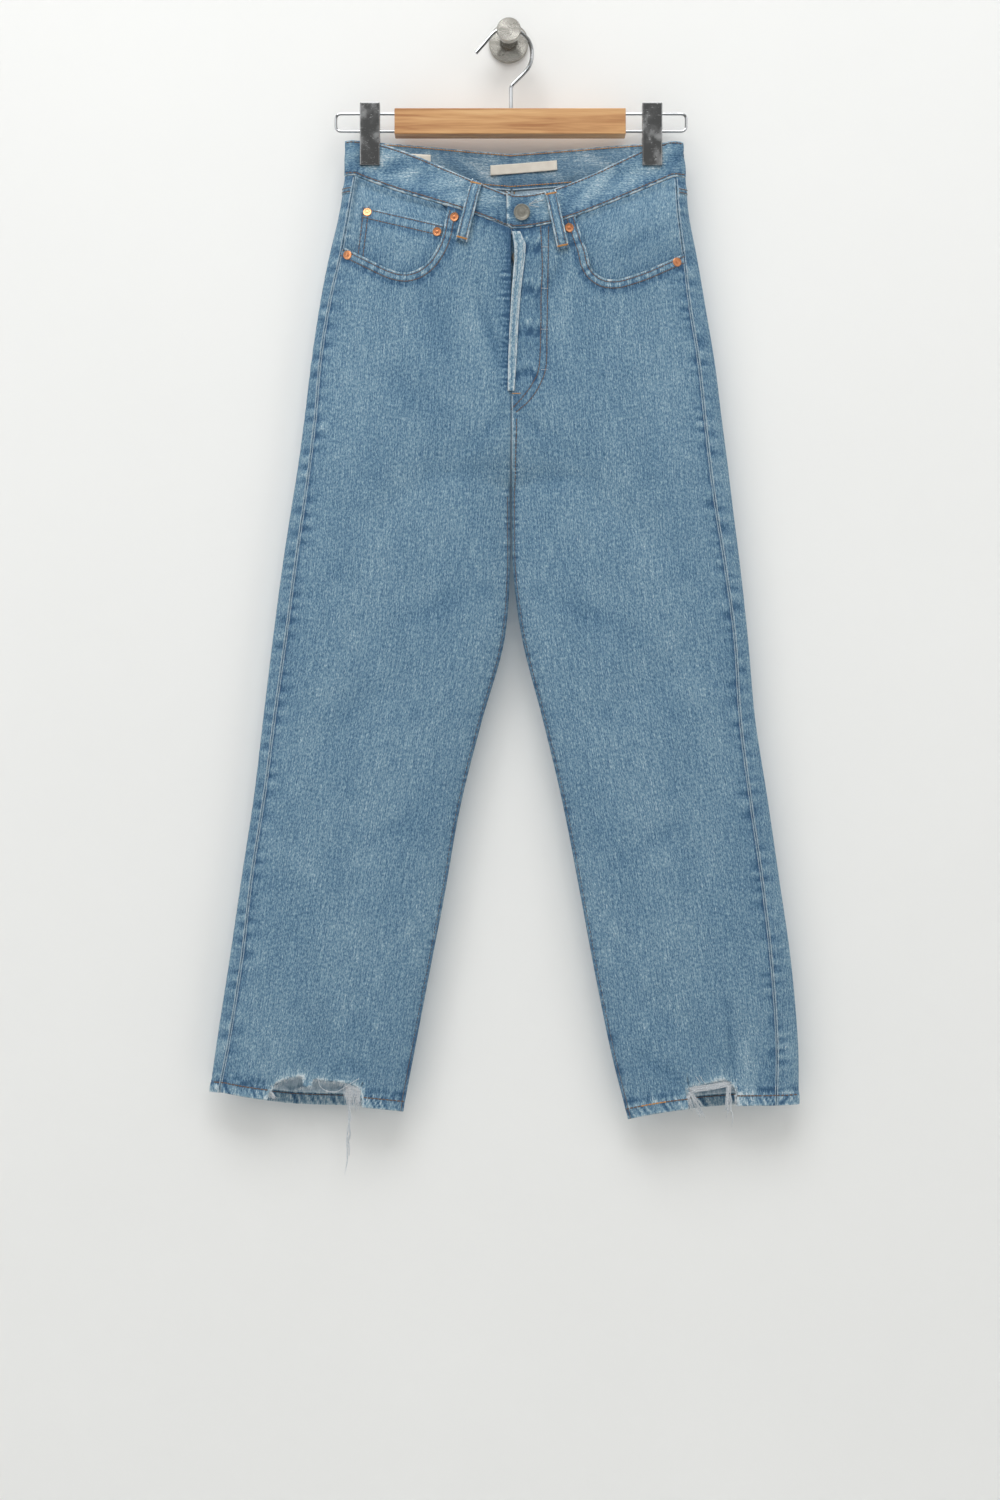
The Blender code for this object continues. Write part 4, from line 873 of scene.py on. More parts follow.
def lacquered_wood():
    made, nodes, shader = new_finish("lacquered_wood")
    place = nodes.place()
    figure = nodes.noise(nodes.stretched(place, (9, 90, 150), 0.06), detail=3, distortion=0.9)
    bent = nodes.stretched(place, (0.16, 1, 1.6), 0.02)
    ring_shape = {"Scale": 22, "Distortion": 7, "Detail": 3, "Detail_Scale": 1.2}
    rings = nodes.wave(bent, {"bands_direction": "Z"}, **ring_shape)
    pores = nodes.noise(nodes.stretched(place, (45, 900, 900)))
    axes = nodes.add("SeparateXYZ", Vector=place).outputs
    darker_end = nodes.spread(axes["X"], -0.125, -0.055, -0.10, 0.0)
    glue_line = nodes.total(nodes.times(axes["X"], 0.135), axes["Z"])
    lighter_board = nodes.spread(glue_line, -0.0905, -0.0895, -0.035, 0.0)
    grain = nodes.total(nodes.times(figure, 0.70), nodes.times(rings, 0.10), nodes.times(pores, 0.16))
    tone = nodes.total(grain, darker_end, lighter_board)
    browns = ((0.3, (0.37, 0.160, 0.055)), (0.5, (0.56, 0.300, 0.122)), (0.72, (0.69, 0.425, 0.200)))
    nodes.set(shader, Base_Color=nodes.ramp(tone, *browns), Roughness=0.42, Coat_Weight=0.25)
    nodes.set(shader, Coat_Roughness=0.2, Normal=nodes.bump(pores, 0.2, 0.0003))
    return made


WOOD = lacquered_wood()


# ---------------------------------------------------------------- cloth pieces
SHELLS = {}


def link(name, mesh, *materials):
    """A new object of the part, with its finishes."""
    piece = bpy.data.objects.new(name, mesh)
    bpy.context.scene.collection.objects.link(piece)
    for made in materials:
        mesh.materials.append(made)
    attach(piece, "root")
    return piece


def mesh_of(name, corners, faces):
    """A mesh from corner points in metres and faces of equal length."""
    faces = np.asarray(faces, np.int32)
    sides = faces.shape[1]
    mesh = bpy.data.meshes.new(name)
    mesh.vertices.add(len(corners))
    mesh.vertices.foreach_set("co", np.asarray(corners, np.float32).ravel())
    mesh.loops.add(faces.size)
    mesh.loops.foreach_set("vertex_index", faces.ravel())
    mesh.polygons.add(len(faces))
    mesh.polygons.foreach_set("loop_start", np.arange(len(faces), dtype=np.int32) * sides)
    mesh.polygons.foreach_set("use_smooth", np.full(len(faces), True))
    mesh.update(calc_edges=True)
    mesh.validate()
    return mesh


def grid_faces(rows, columns):
    index = np.arange(rows * columns).reshape(rows, columns)
    corners = [index[:-1, :-1], index[:-1, 1:], index[1:, 1:], index[1:, :-1]]
    return np.stack(corners, axis=-1).reshape(-1, 4)


def arcs(points):
    """How far each point lies along its row and down its column."""
    over = np.linalg.norm(np.diff(points, axis=1), axis=-1)
    down = np.linalg.norm(np.diff(points, axis=0), axis=-1)
    across = np.concatenate([np.zeros((len(points), 1)), np.cumsum(over, axis=1)], axis=1)
    return across, np.concatenate([np.zeros((1, points.shape[1])), np.cumsum(down, axis=0)], axis=0)


def cloth(
    name, points, outs, relief, fade, thickness=DENIM, finishes=BOTH_SIDES,
    weft=None, turned_grain=False, turned_up=None,
):
    """A sheet of cloth on a grid of points, with its wall thickness.

    fade is how worn it is, with the shade and light painted on it, from -1, dark,
    to 1. weft is how far each point lies across the grain, if not along its row.
    """
    rows, columns = relief.shape
    surface = points + outs * relief[..., None]
    faces = grid_faces(rows, columns)
    i, j = rows // 2, columns // 2
    facing = np.cross(surface[i, j + 1] - surface[i, j], surface[i + 1, j] - surface[i, j]) @ outs[i, j]
    if facing < 0:
        faces = faces[:, ::-1]
    mesh = mesh_of(name, surface.reshape(-1, 3) * MM, faces)
    across, _ = arcs(points)
    middle = across[:, columns // 2][:, None]
    u, v = across - middle if weft is None else weft, points[..., 2]
    if turned_grain:
        u, v = v, across
    place = np.stack([u, v], axis=-1).reshape(-1, 2) * MM
    layer = mesh.uv_layers.new(name="grain")
    corners = np.empty(len(mesh.loops), np.int32)
    mesh.loops.foreach_get("vertex_index", corners)
    layer.data.foreach_set("uv", place[corners].astype(np.float32).ravel())
    worn = mesh.attributes.new("fade", "FLOAT", "POINT")
    worn.data.foreach_set("value", fade.astype(np.float32).ravel())
    piece = link(name + "_cloth", mesh, *finishes)
    if turned_up is not None:
        # A turned-up hem shows the cloth's face on the inside too.
        for _ in range(2):
            mesh.materials.append(finishes[0])
        at_hem = turned_up[:-1, :-1].ravel() & turned_up[1:, 1:].ravel()
        mesh.polygons.foreach_set("material_index", np.where(at_hem, 2, 0).astype(np.int32))
    wall = piece.modifiers.new("cloth_thickness", "SOLIDIFY")
    wall.thickness, wall.offset = thickness * MM, 0
    wall.material_offset, wall.material_offset_rim = min(1, len(finishes) - 1), 0
    corner_list = [Vector(corner) for corner in surface.reshape(-1, 3)]
    SHELLS[name] = (BVHTree.FromPolygons(corner_list, faces.tolist()), thickness / 2)
    return piece


REACH = 14


def settle(points, outs, shells, clearance=0.0):
    """Moves points along outs, which may face in or out, to lie on the furthest of the named shells."""
    settled = np.array(points, float)
    for k, (point, out) in enumerate(zip(settled, outs)):
        start = Vector(point + out * REACH)
        best = None
        for shell in shells:
            tree, half = SHELLS[shell]
            hit = tree.ray_cast(start, Vector(-out), 2 * REACH - 2)
            if hit[0] is not None:
                height = REACH - hit[3] + half
                best = height if best is None else max(best, height)
        settled[k] = point + out * ((best or 0) + clearance)
    return settled


# ---------------------------------------------------------------- panels
# How finely each piece is divided, in rows down it and columns across it.
FRONT_COLUMNS, LEG_STEPS, TOP_STEPS, FOOT_STEPS = 92, 250, 64, 22
SEAT_ROWS, LEG_ROWS, YOKE_ROWS = 42, 285, 26
BAND_ROWS, BAND_COLUMNS, BAND_OVERLAP_COLUMNS = 22, 66, 8
LOOP_ROWS, LOOP_COLUMNS = 34, 13
FACING_GRID, COIN_GRID, BACK_POCKET_GRID, LABEL_GRID = (60, 62), (40, 50), (56, 52), (12, 40)
FLY_FOLD_ROWS, FLY_FOLD_COLUMNS, UNDERLAP_ROWS = 84, 13, 50
# Where each piece's uneven marks start their random draws.
SEEDS = {
    "front_panel": {RIGHT: 100, LEFT: 200},
    "back_panel": {RIGHT: 300, LEFT: 400},
    "yoke": {RIGHT: 500, LEFT: 600},
    "pocket_facing": {RIGHT: 900, LEFT: 950},
    "back_pocket": {RIGHT: 1100, LEFT: 1140},
}


def side_name(side):
    return "right" if side == RIGHT else "left"


def opening_line(side, count=60):
    return curved([(spot.x, spot.drop) for spot in OPENINGS[side]], count)


def top_of_front(side, count):
    """The front panel's top edge: along the waist seam, then down the pocket opening."""
    start = OPENINGS[side][0].x / smooth(COLUMNS[side, "outer"], WAIST_SEAM)
    on_seam = round(count * 0.32)
    places = [np.full(on_seam, WAIST_SEAM + SEAM_SHARE)]
    shares = [np.linspace(0, float(start), on_seam)]
    curve = opening_line(side, count - on_seam + 1)[1:]
    place, across = find(side, FRONT, curve[:, 0], curve[:, 1])
    across[-1] = short_of_outseam(side, place[-1])
    return np.concatenate(places + [place]), np.concatenate(shares + [across])


def foot_of_front(side, count):
    """The front panel's lower edge with its tear, a little ragged."""
    tear = TEARS[side]
    end = float(short_of_outseam(side, HEM))
    width = float(width_at(side, HEM))
    torn = [(stop.across * width, stop.height) for stop in tear]
    length = np.linalg.norm(np.diff(np.array(torn), axis=0), axis=1).sum()
    before, after = tear[0].across * width, (end - tear[-1].across) * width
    n_before = max(8, round(count * before / (before + length + after)))
    n_after = max(8, round(count * after / (before + length + after)))
    n_torn = count - n_before - n_after
    line = along_line(torn, n_torn)
    chance = np.random.default_rng(40 + side)
    ragged = np.minimum(line[:, 1] / 6, 1)[:, None] * chance.uniform(-0.9, 0.9, line.shape)
    line = line + ragged
    across = np.concatenate(
        [
            np.linspace(0, tear[0].across, n_before, endpoint=False),
            line[:, 0] / width,
            np.linspace(tear[-1].across, end, n_after + 1)[1:],
        ]
    )
    height = np.concatenate([np.zeros(n_before), line[:, 1], np.zeros(n_after)])
    return above_hem(side, FRONT, across, height), across


def split_at_centre(points, side):
    """Keeps a piece that ends at the centre seam on its own side of it."""
    out = (points[..., 0] - CENTRE_X) * side
    points[..., 0] = CENTRE_X + side * np.maximum(out, SEAM_GAP / 2)
    return points


def hem_marks(side, face, across, points, seed):
    """The turned-up hem: how it stands out, and how it ropes and wears, with painted shade along its row and
    in its rope's hollows.
    """
    height = points[..., 2] - hem_edge(side, face, across)
    along = across * float(width_at(side, HEM))
    relief = band_rise(height, HEM_FOLD, HEM_RISE) + groove(height, HEM_ROW, 0.45)
    slanted = along + 0.55 * side * height
    rope = pucker(np.abs(height - 6), slanted, HEM_PITCH, 9.0, seed)
    above = pucker(height, along, HEM_PITCH, 9.0, seed + 3, start=13) * (height > 11)
    relief = relief + 0.38 * rope * (height < 13) + 0.35 * above
    fade = (0.2 + blotched(1.15 * rope)) * (height < HEM_FOLD) + 0.6 * above
    fade = fade + edge_wear(height, seed + 5, along, 1.5, 0.8)
    fade = fade + edge_wear(np.abs(height - 12.6), seed + 6, along, 0.9, 0.5)
    ghost = bell(height - 17.5 - 1.6 * wander(along, seed + 7, 22), 2.0)
    fade = fade - np.clip(0.65 + 0.6 * wander(along, seed + 8, 30), 0, 1.2) * ghost
    fade = fade + sewn(height, HEM_ROW, dark=0.75)
    return relief, fade


def front_panel(side):
    top_place, top_across = top_of_front(side, FRONT_COLUMNS)
    foot_place, foot_across = foot_of_front(side, FRONT_COLUMNS)
    even = np.linspace(0, 1, FRONT_COLUMNS)

    places, shares = [], []
    for share in np.linspace(0, 1, TOP_STEPS, endpoint=False) ** 1.25:
        at = top_place + (HIP - top_place) * share
        places.append(at)
        shares.append(top_across + (even * short_of_outseam(side, at) - top_across) * share)
    for at in np.linspace(HIP, LEG_END, LEG_STEPS):
        places.append(np.full(FRONT_COLUMNS, at))
        shares.append(even * short_of_outseam(side, at))
    for share in np.linspace(0, 1, FOOT_STEPS)[1:]:
        at = LEG_END + (foot_place - LEG_END) * share
        places.append(at)
        out = even * short_of_outseam(side, at)
        shares.append(out + (foot_across - out) * min(share * 1.12, 1))
    place, across = np.array(places), np.array(shares)
    across[:, -1] = short_of_outseam(side, place[:, -1])
    points = split_at_centre(skin(side, FRONT, place, across), side)
    outs = outward(side, FRONT, place, across)
    x, drop = seen_from_front(points, side)
    over, _ = arcs(points)
    from_outseam, from_inner = over[:, -1:] - over, over
    seed = SEEDS["front_panel"][side]
    relief = -trough(CREASES, side, FRONT, x, drop)
    # Painted shade in the creases, and painted light on the ridges.
    fade = -0.27 * trough(CREASES, side, FRONT, x, drop)
    # The outseam's ridge, with light and dark waves beside it, and a band of painted shade along the seam.
    wave = pucker(from_outseam, drop, OUTSEAM_PITCH, 9.0, seed, start=2.5) * (drop > 120)
    relief += 0.6 * wave + band_rise(from_outseam, 1.2, 0.35)
    fade += 0.62 * blotched(wave) - 0.16 * bell(from_outseam, 12)
    fade += sewn(from_outseam, OUTSEAM_ROW, dark=0.7, half_width=0.9)
    # The inseam, a felled seam two stitches wide, with a little painted shade beside it.
    legs = after(drop, 340, 40)
    wave = pucker(from_inner, drop, FINE_PITCH, 6.0, seed + 10, start=3) * legs
    relief += 0.4 * wave + legs * (band_rise(from_inner, 4.5, 0.4) + groove(from_inner, INSEAM_ROW, 0.3))
    on_inseam = 0.5 * blotched(wave) - 0.08 * bell(from_inner, 9) + sewn(from_inner, INSEAM_ROW, dark=0.4)
    fade += on_inseam * legs
    # The waist seam and the pocket opening, doubled and sewn twice.
    scoop = opening_line(side)
    off, along = off_line(x, drop, scoop)
    near = off < 26
    wave = pucker(off, along, FINE_PITCH, 6.0, seed + 20, start=9) * near
    inner_wave = pucker(np.abs(off - 5.5), along, 6.5, 3.5, seed + 24)
    first_row, second_row = SCOOP_ROWS
    relief += band_rise(off, 9.6, 0.75) + groove(off, first_row, 0.35, 0.8) + groove(off, second_row, 0.45)
    relief += 0.3 * wave + 0.22 * inner_wave
    fade += blotched(0.6 * wave) + 0.35 * inner_wave + edge_wear(off, seed + 21, along, 1.7, 1.1)
    # Painted shade just past the doubled edge, and a painted highlight on the band between the rows.
    fade += sewn(off, *SCOOP_ROWS) - 0.55 * bell(off - 12.2, 2.8) + 0.22 * bell(off - 5.6, 1.6)
    waist = skin_of(side, FRONT, np.full(40, WAIST_SEAM + SEAM_SHARE), np.linspace(0, 0.42, 40))
    off, along = off_line(x, drop, np.stack(seen_from_front(waist, side), axis=1))
    wave = pucker(off, along, 9.5, 12, seed + 30)
    relief += 0.45 * wave
    # Painted shadow of the waistband on the panel below it.
    fade += blotched(0.5 * wave) - 0.75 * bell(off, 3.5) - 0.3 * bell(off, 13)
    # The fly and the front rise.
    rise = before(drop, 268, 8)
    if side == LEFT:
        off, along = off_line(x, drop, FLY_STITCH[0])
        inside = before(x, 35, 2) * before(drop, 288, 6)
        relief += 0.5 * inside * (drop > 105)
        fade += -0.12 * inside + sewn(off, 0, dark=0.4)
        # Painted shadow beside the far edge of the folded strip.
        fade -= 0.25 * inside * bell(x - far_edge_of_strip(drop), 5)
        fade += sewn(off_line(x, drop, FLY_STITCH[1])[0], 0, dark=0.4)
        # Across the fly, the dark bands are hollows painted darker as shade, with lighter cloth either side.
        for k, bar in enumerate(FLY_BARS):
            ragged = drop - bar + 2.6 * wander(x, 1700 + k, 9)
            dark = bell(ragged, 4.4) + 0.5 * bell(ragged - 10.5, 2.2)
            uneven = np.clip(0.85 + 0.5 * wander(x + 0.4 * drop, 1720 + k, 9), 0.3, 1.3)
            dark = dark * before(x, 33, 4) * uneven
            light = bell(ragged + 10, 3.0) + bell(ragged - 10, 3.0)
            fade += (0.5 * light * inside - 1.4 * dark) * (0.8 + 0.4 * wander(x, 1710 + k, 9))
            relief += 0.5 * light * inside - 0.6 * dark
    else:
        ladder = pucker(np.maximum(x - 2, 0), drop, 5.4, 8.5, seed + 40)
        ladder = ladder * after(drop, 120, 20) * rise
        relief += 0.35 * ladder
        # Painted shadow along the inner edge, where the fly's strip meets it, and broader painted shade
        # beside it.
        fade += blotched(1.5 * ladder) - 0.9 * bell(x, 5.5) * rise * (drop > 100)
        fade -= 0.2 * bell(x, 16) * rise
    below = after(drop, 266, 8) * before(drop, 470, 20)
    ridge = pucker(np.abs(x - 5), drop, 7, 5, seed + 44) * below
    relief += 0.3 * ridge + below * (band_rise(x, 6.5, 0.35) if side == LEFT else 0)
    fade += 0.45 * ridge
    fade += (sewn(x, 5.0, dark=0.45) + 0.3 * bell(x - 2, 1.6)) * below * (side == LEFT)
    # The hem.
    hem_relief, hem_wear_and_shading = hem_marks(side, FRONT, across, points, seed + 50)
    low = after(place, HEM_MARKS_FROM, 0.3)
    relief += hem_relief * low
    fade += hem_wear_and_shading * low
    hem_width = float(width_at(side, HEM))
    height = points[..., 2] - hem_edge(side, FRONT, across)
    off, along = off_line(across * hem_width, height, [(t.across * hem_width, t.height) for t in TEARS[side]])
    fade += edge_wear(off, seed + 60, along, 3.2, 1.2) * low + 0.25 * bell(off, 9) * low
    taper = np.clip(np.minimum(from_outseam, from_inner + 4) / 3, 0.3, 1)
    taper = taper * flat_at(POCKET_RIVETS[side], x, drop)
    name = "front_panel_" + side_name(side)
    turned_up = (height < 13) & (place > HEM_MARKS_FROM)
    weft = (across - 0.5) * width_at(side, place)
    return cloth(name, points, outs, relief * taper, fade, weft=weft, turned_up=turned_up)


# The curve of the fly's stitching, as its outer and inner rows on the wearer's left front.
FLY_STITCH = [
    [(38.5, 98), (38.0, 150), (37.2, 194), (36.5, 238), (30.5, 258), (20, 274.5), (6, 287)],
    [(30.5, 98), (32.2, 136), (31, 165), (29.5, 236), (22, 258), (12, 272), (1, 284)],
]
FLY_BARS = [121, 163, 205, 248]


def far_edge_of_strip(drop):
    """How far out the far edge of the fly's folded strip lies."""
    return np.interp(drop, [strip.drop for strip in FLY_FOLD], [strip.second for strip in FLY_FOLD])



# Shares across the back from the side fold to the inner edge, and along the front from outseam to fold.
BACK_SHARES = np.concatenate([[0.9985, 0.994, 0.985], 0.975 * (1 - np.linspace(0, 1, 74) ** 1.08)])
FRONT_SHARES = np.linspace(0, 1, 9)


def round_fold_grid(side, rows_of):
    """Grid of (face, place, across). rows_of(face, across) gives the places of every row."""
    faces, places, shares = [], [], []
    for share in FRONT_SHARES:
        place = rows_of(FRONT, np.array(share))
        seam = seam_across(side, place) + gap_across(side, place)
        faces.append(np.full(place.shape, FRONT))
        places.append(place)
        shares.append(seam + (1 - seam) * (1 - (1 - share) ** 2))
    for share in BACK_SHARES:
        place = rows_of(BACK, np.array(share))
        faces.append(np.full(place.shape, BACK))
        places.append(place)
        shares.append(np.full(place.shape, share))
    return tuple(np.stack(grid, axis=1) for grid in (faces, places, shares))


def yoke_place(face, across):
    if face == FRONT:
        return YOKE_AT_SIDE
    return YOKE_AT_BACK + (YOKE_AT_SIDE - YOKE_AT_BACK) * float(across)


def back_seams(drop, from_outseam, from_inner, seed):
    """The marks of the outseam and of the seat seam and inseam on the back, with painted shade along the
    outseam and in the rows' grooves.
    """
    wave = pucker(from_outseam, drop, OUTSEAM_PITCH, 10, seed, start=2)
    relief = 0.5 * wave + band_rise(from_outseam, 1.2, 0.35)
    fade = 0.62 * blotched(wave) - 0.16 * bell(from_outseam, 12)
    wave = pucker(from_inner, drop, FINE_PITCH, 7, seed + 10, start=3)
    first_row, second_row = FELLED_ROWS
    relief += 0.4 * wave + band_rise(from_inner, 9, 0.5)
    relief += groove(from_inner, first_row, 0.3) + groove(from_inner, second_row, 0.35)
    fade += 0.5 * wave + edge_wear(from_inner, seed + 11, drop, 1.6, 0.35) + sewn(from_inner, *FELLED_ROWS)
    return relief, fade


def back_panel(side):
    seat = np.linspace(0, 1, SEAT_ROWS, endpoint=False) * HIP
    steps = np.concatenate([seat, np.linspace(HIP, HEM, LEG_ROWS)])

    def rows_of(face, across):
        yoke = yoke_place(face, across)
        share = np.clip(steps / HIP, 0, 1)
        return np.where(steps < HIP, yoke * (1 - share) + HIP * share + SEAM_SHARE * (1 - share), steps)

    face, place, across = round_fold_grid(side, rows_of)
    points = split_at_centre(skin(side, face, place, across), side)
    outs = outward(side, face, place, across)
    over, _ = arcs(points)
    x, drop = seen_from_front(points, side)
    seed = SEEDS["back_panel"][side]
    relief, fade = back_seams(drop, over, over[:, -1:] - over, seed)
    behind = face == BACK
    crease = trough(CREASES, side, BACK, x, drop) * behind
    # The creases are painted darker as shade too.
    relief, fade = relief - crease, fade - 0.2 * crease
    worn = np.exp(-(((x - 95) / 60) ** 2) - (((drop - 260) / 90) ** 2)) * behind
    fade += 0.22 * worn
    hem_relief, hem_wear_and_shading = hem_marks(side, BACK, across, points, seed + 50)
    low = after(place, HEM_MARKS_FROM, 0.3)
    # The whole back hem is painted 0.2 lighter, as painted light for where it lies in shade behind the tears.
    relief, fade = relief + hem_relief * low, fade + (hem_wear_and_shading + 0.2) * low
    edge = drop - drop[0]
    fade += edge_wear(edge, seed + 70, over, 2.0, 0.4)
    turned_up = points[..., 2] - hem_edge(side, BACK, across) < 13
    name = "back_panel_" + side_name(side)
    return cloth(name, points, outs, relief, fade, turned_up=turned_up)


def yoke(side):
    share = np.linspace(0, 1, YOKE_ROWS)

    def rows_of(face, across):
        foot = yoke_place(face, across) - SEAM_SHARE
        return (WAIST_SEAM + SEAM_SHARE) * (1 - share) + foot * share

    face, place, across = round_fold_grid(side, rows_of)
    points = split_at_centre(skin(side, face, place, across), side)
    outs = outward(side, face, place, across)
    over, down = arcs(points)
    drop = WAIST_Z - points[..., 2]
    seed = SEEDS["yoke"][side]
    relief, fade = back_seams(drop, over, over[:, -1:] - over, seed)
    from_foot = down[-1:] - down
    wave = pucker(from_foot, over, FINE_PITCH, 8, seed + 20)
    relief += band_rise(from_foot, 9, 0.6) + sum(groove(from_foot, row, 0.35) for row in FELLED_ROWS)
    relief += 0.3 * wave
    fade += 0.45 * wave + edge_wear(from_foot, seed + 21, over, 1.6, 0.8) + sewn(from_foot, *FELLED_ROWS)
    return cloth("yoke_" + side_name(side), points, outs, relief, fade)


# ---------------------------------------------------------------- waistband and loops
def waistband():
    """One folded strip right round the waist. Its left end lies over its right end at the fly."""
    outer = {side: OUTLINES[side][WAIST_TOP].outer for side in (RIGHT, LEFT)}
    held_to = CLIP_X + CLIP_HALF

    def stops(side, start):
        straight = np.linspace(start, held_to, BAND_COLUMNS)
        past_clip = held_to + (outer[side] - held_to) * np.array([0.25, 0.5, 0.72, 0.87, 0.95, 0.985])
        return np.concatenate([straight, past_clip])

    # From the left end round the back to the right front, then the part that lies under the left end.
    runs = (
        (LEFT, FRONT, stops(LEFT, BAND_END) / outer[LEFT]),
        (LEFT, BACK, np.append(1.0, stops(LEFT, 0)[::-1] / outer[LEFT])),
        (RIGHT, BACK, stops(RIGHT, 1.5) / outer[RIGHT]),
        (RIGHT, FRONT, np.append(1.0, stops(RIGHT, 20)[::-1] / outer[RIGHT])),
    )
    side = np.concatenate([np.full(len(shares), run_side) for run_side, _, shares in runs])
    face = np.concatenate([np.full(len(shares), run_face) for _, run_face, shares in runs])
    across = np.concatenate([shares for _, _, shares in runs])
    inset = np.zeros(len(across))
    step_in = BAND + SEAM_GAP
    under_x = np.array([16, 13, 10, 7])
    more = BAND_OVERLAP_COLUMNS
    side = np.concatenate([side, np.full(len(under_x), RIGHT), np.full(more, LEFT)])
    face = np.concatenate([face, np.full(len(under_x) + more, FRONT)])
    across = np.concatenate([across, under_x / outer[RIGHT], np.linspace(1, BAND_UNDER, more) / outer[LEFT]])
    stepping = step_in * np.array([0.25, 0.5, 0.8, 1])
    inset = np.concatenate([inset, stepping, np.full(more, step_in)])
    share = np.linspace(0, 1, BAND_ROWS)
    narrower = np.where(inset > 0, 0.96, 1)
    place = share[:, None] * narrower[None] * (WAIST_SEAM - SEAM_SHARE)
    side, face, across = (np.broadcast_to(row, place.shape) for row in (side, face, across))
    outs = outward(side, face, place, across)
    points = skin(side, face, place, across) - outs * inset[None, :, None]
    over, down = arcs(points)
    from_foot = down[-1:] - down
    top_wave = pucker(down, over, 11, 7, 700)
    foot_wave = pucker(from_foot, over, 9.5, 9, 720)
    pulls = wander(over + 1.3 * down, 731, 34) * bell(down - 19, 13)
    relief = 0.3 * top_wave + 0.4 * foot_wave + 0.5 * pulls
    relief += groove(down, 2.2, 0.35, 0.9) + groove(from_foot, 2.6, 0.4, 1.0)
    fade = 0.1 + blotched(0.5 * top_wave) + blotched(0.7 * foot_wave) + 0.45 * pulls
    fade = fade + 0.25 * wander(over, 733, 52)
    fade += edge_wear(down, 741, over, 1.3, 1.2) + edge_wear(from_foot, 742, over, 1.4, 1.6)
    fade += edge_wear(over, 743, down, 3.4, 2.0) + sewn(down, 2.2, dark=0.45) + sewn(from_foot, 2.6, dark=1.0)
    # Painted shade: a dark band above the lower row.
    fade -= 0.3 * bell(from_foot - 6.5, 3.5)
    fade -= 0.55 * bell(over - 22, 15) * np.clip(down / 12, 0, 1)
    relief += 0.6 * bell(over, 3.5)
    relief *= np.where(inset > 0, 0.2, 1)[None]
    finishes = (DENIM_FACE, DENIM_REVERSE_BAND)
    return cloth("waistband", points, outs, relief, fade, BAND, finishes, turned_grain=True)


def belt_loop(loop):
    """A strip from the waistband's top edge to below its seam, bowed out, with its ends sewn flat."""
    share = np.linspace(0, 1, LOOP_ROWS)
    x = loop.top_x + (loop.foot_x - loop.top_x) * share
    drop = loop.top_drop + (loop.foot_drop - loop.top_drop) * share
    place, across = find(loop.side, loop.face, x, drop)
    middle, out = laid(loop.side, loop.face, place, across)
    ends = np.minimum(share, 1 - share) * 2
    stand = BAND / 2 + SEAM_GAP + LOOP_THICK / 2 + LOOP_BOW * np.sin(np.pi / 2 * np.minimum(ends * 2, 1))
    run = np.gradient(middle, axis=0)
    over = unit(np.cross(out, run)) * loop.side * -1
    half = LOOP_WIDTH / 2
    offset = np.linspace(-half, half, LOOP_COLUMNS)
    points = middle[:, None] + out[:, None] * stand[:, None, None] + over[:, None] * offset[None, :, None]
    outs = np.broadcast_to(out[:, None], points.shape).copy()
    down = arcs(points)[1]
    edge = half - np.abs(offset)[None] * np.ones_like(down)
    seed = 800 + 7 * LOOPS.index(loop)
    wave = pucker(edge, down, 5.5, 2.6, seed)
    relief = 0.2 * wave + groove(edge, 2.2, 0.3, 0.8) + 0.25 * bell(offset[None], 2.2)
    fade = 0.1 + 0.3 * wave + edge_wear(edge, seed + 1, down, 1.1, 1.2)
    # Painted shade along the inner side of the stitch rows, and a lighter middle.
    fade = fade - 0.55 * bell(edge - 2.9, 1.1) + 0.15 * bell(offset[None], 1.5)
    return cloth("belt_loop_" + loop.name, points, outs, relief, fade, LOOP_THICK)


# ---------------------------------------------------------------- pockets
def eased(share):
    """A share from 0 to 1, with a soft start and end."""
    share = np.clip(share, 0, 1)
    return share * share * (3 - 2 * share)


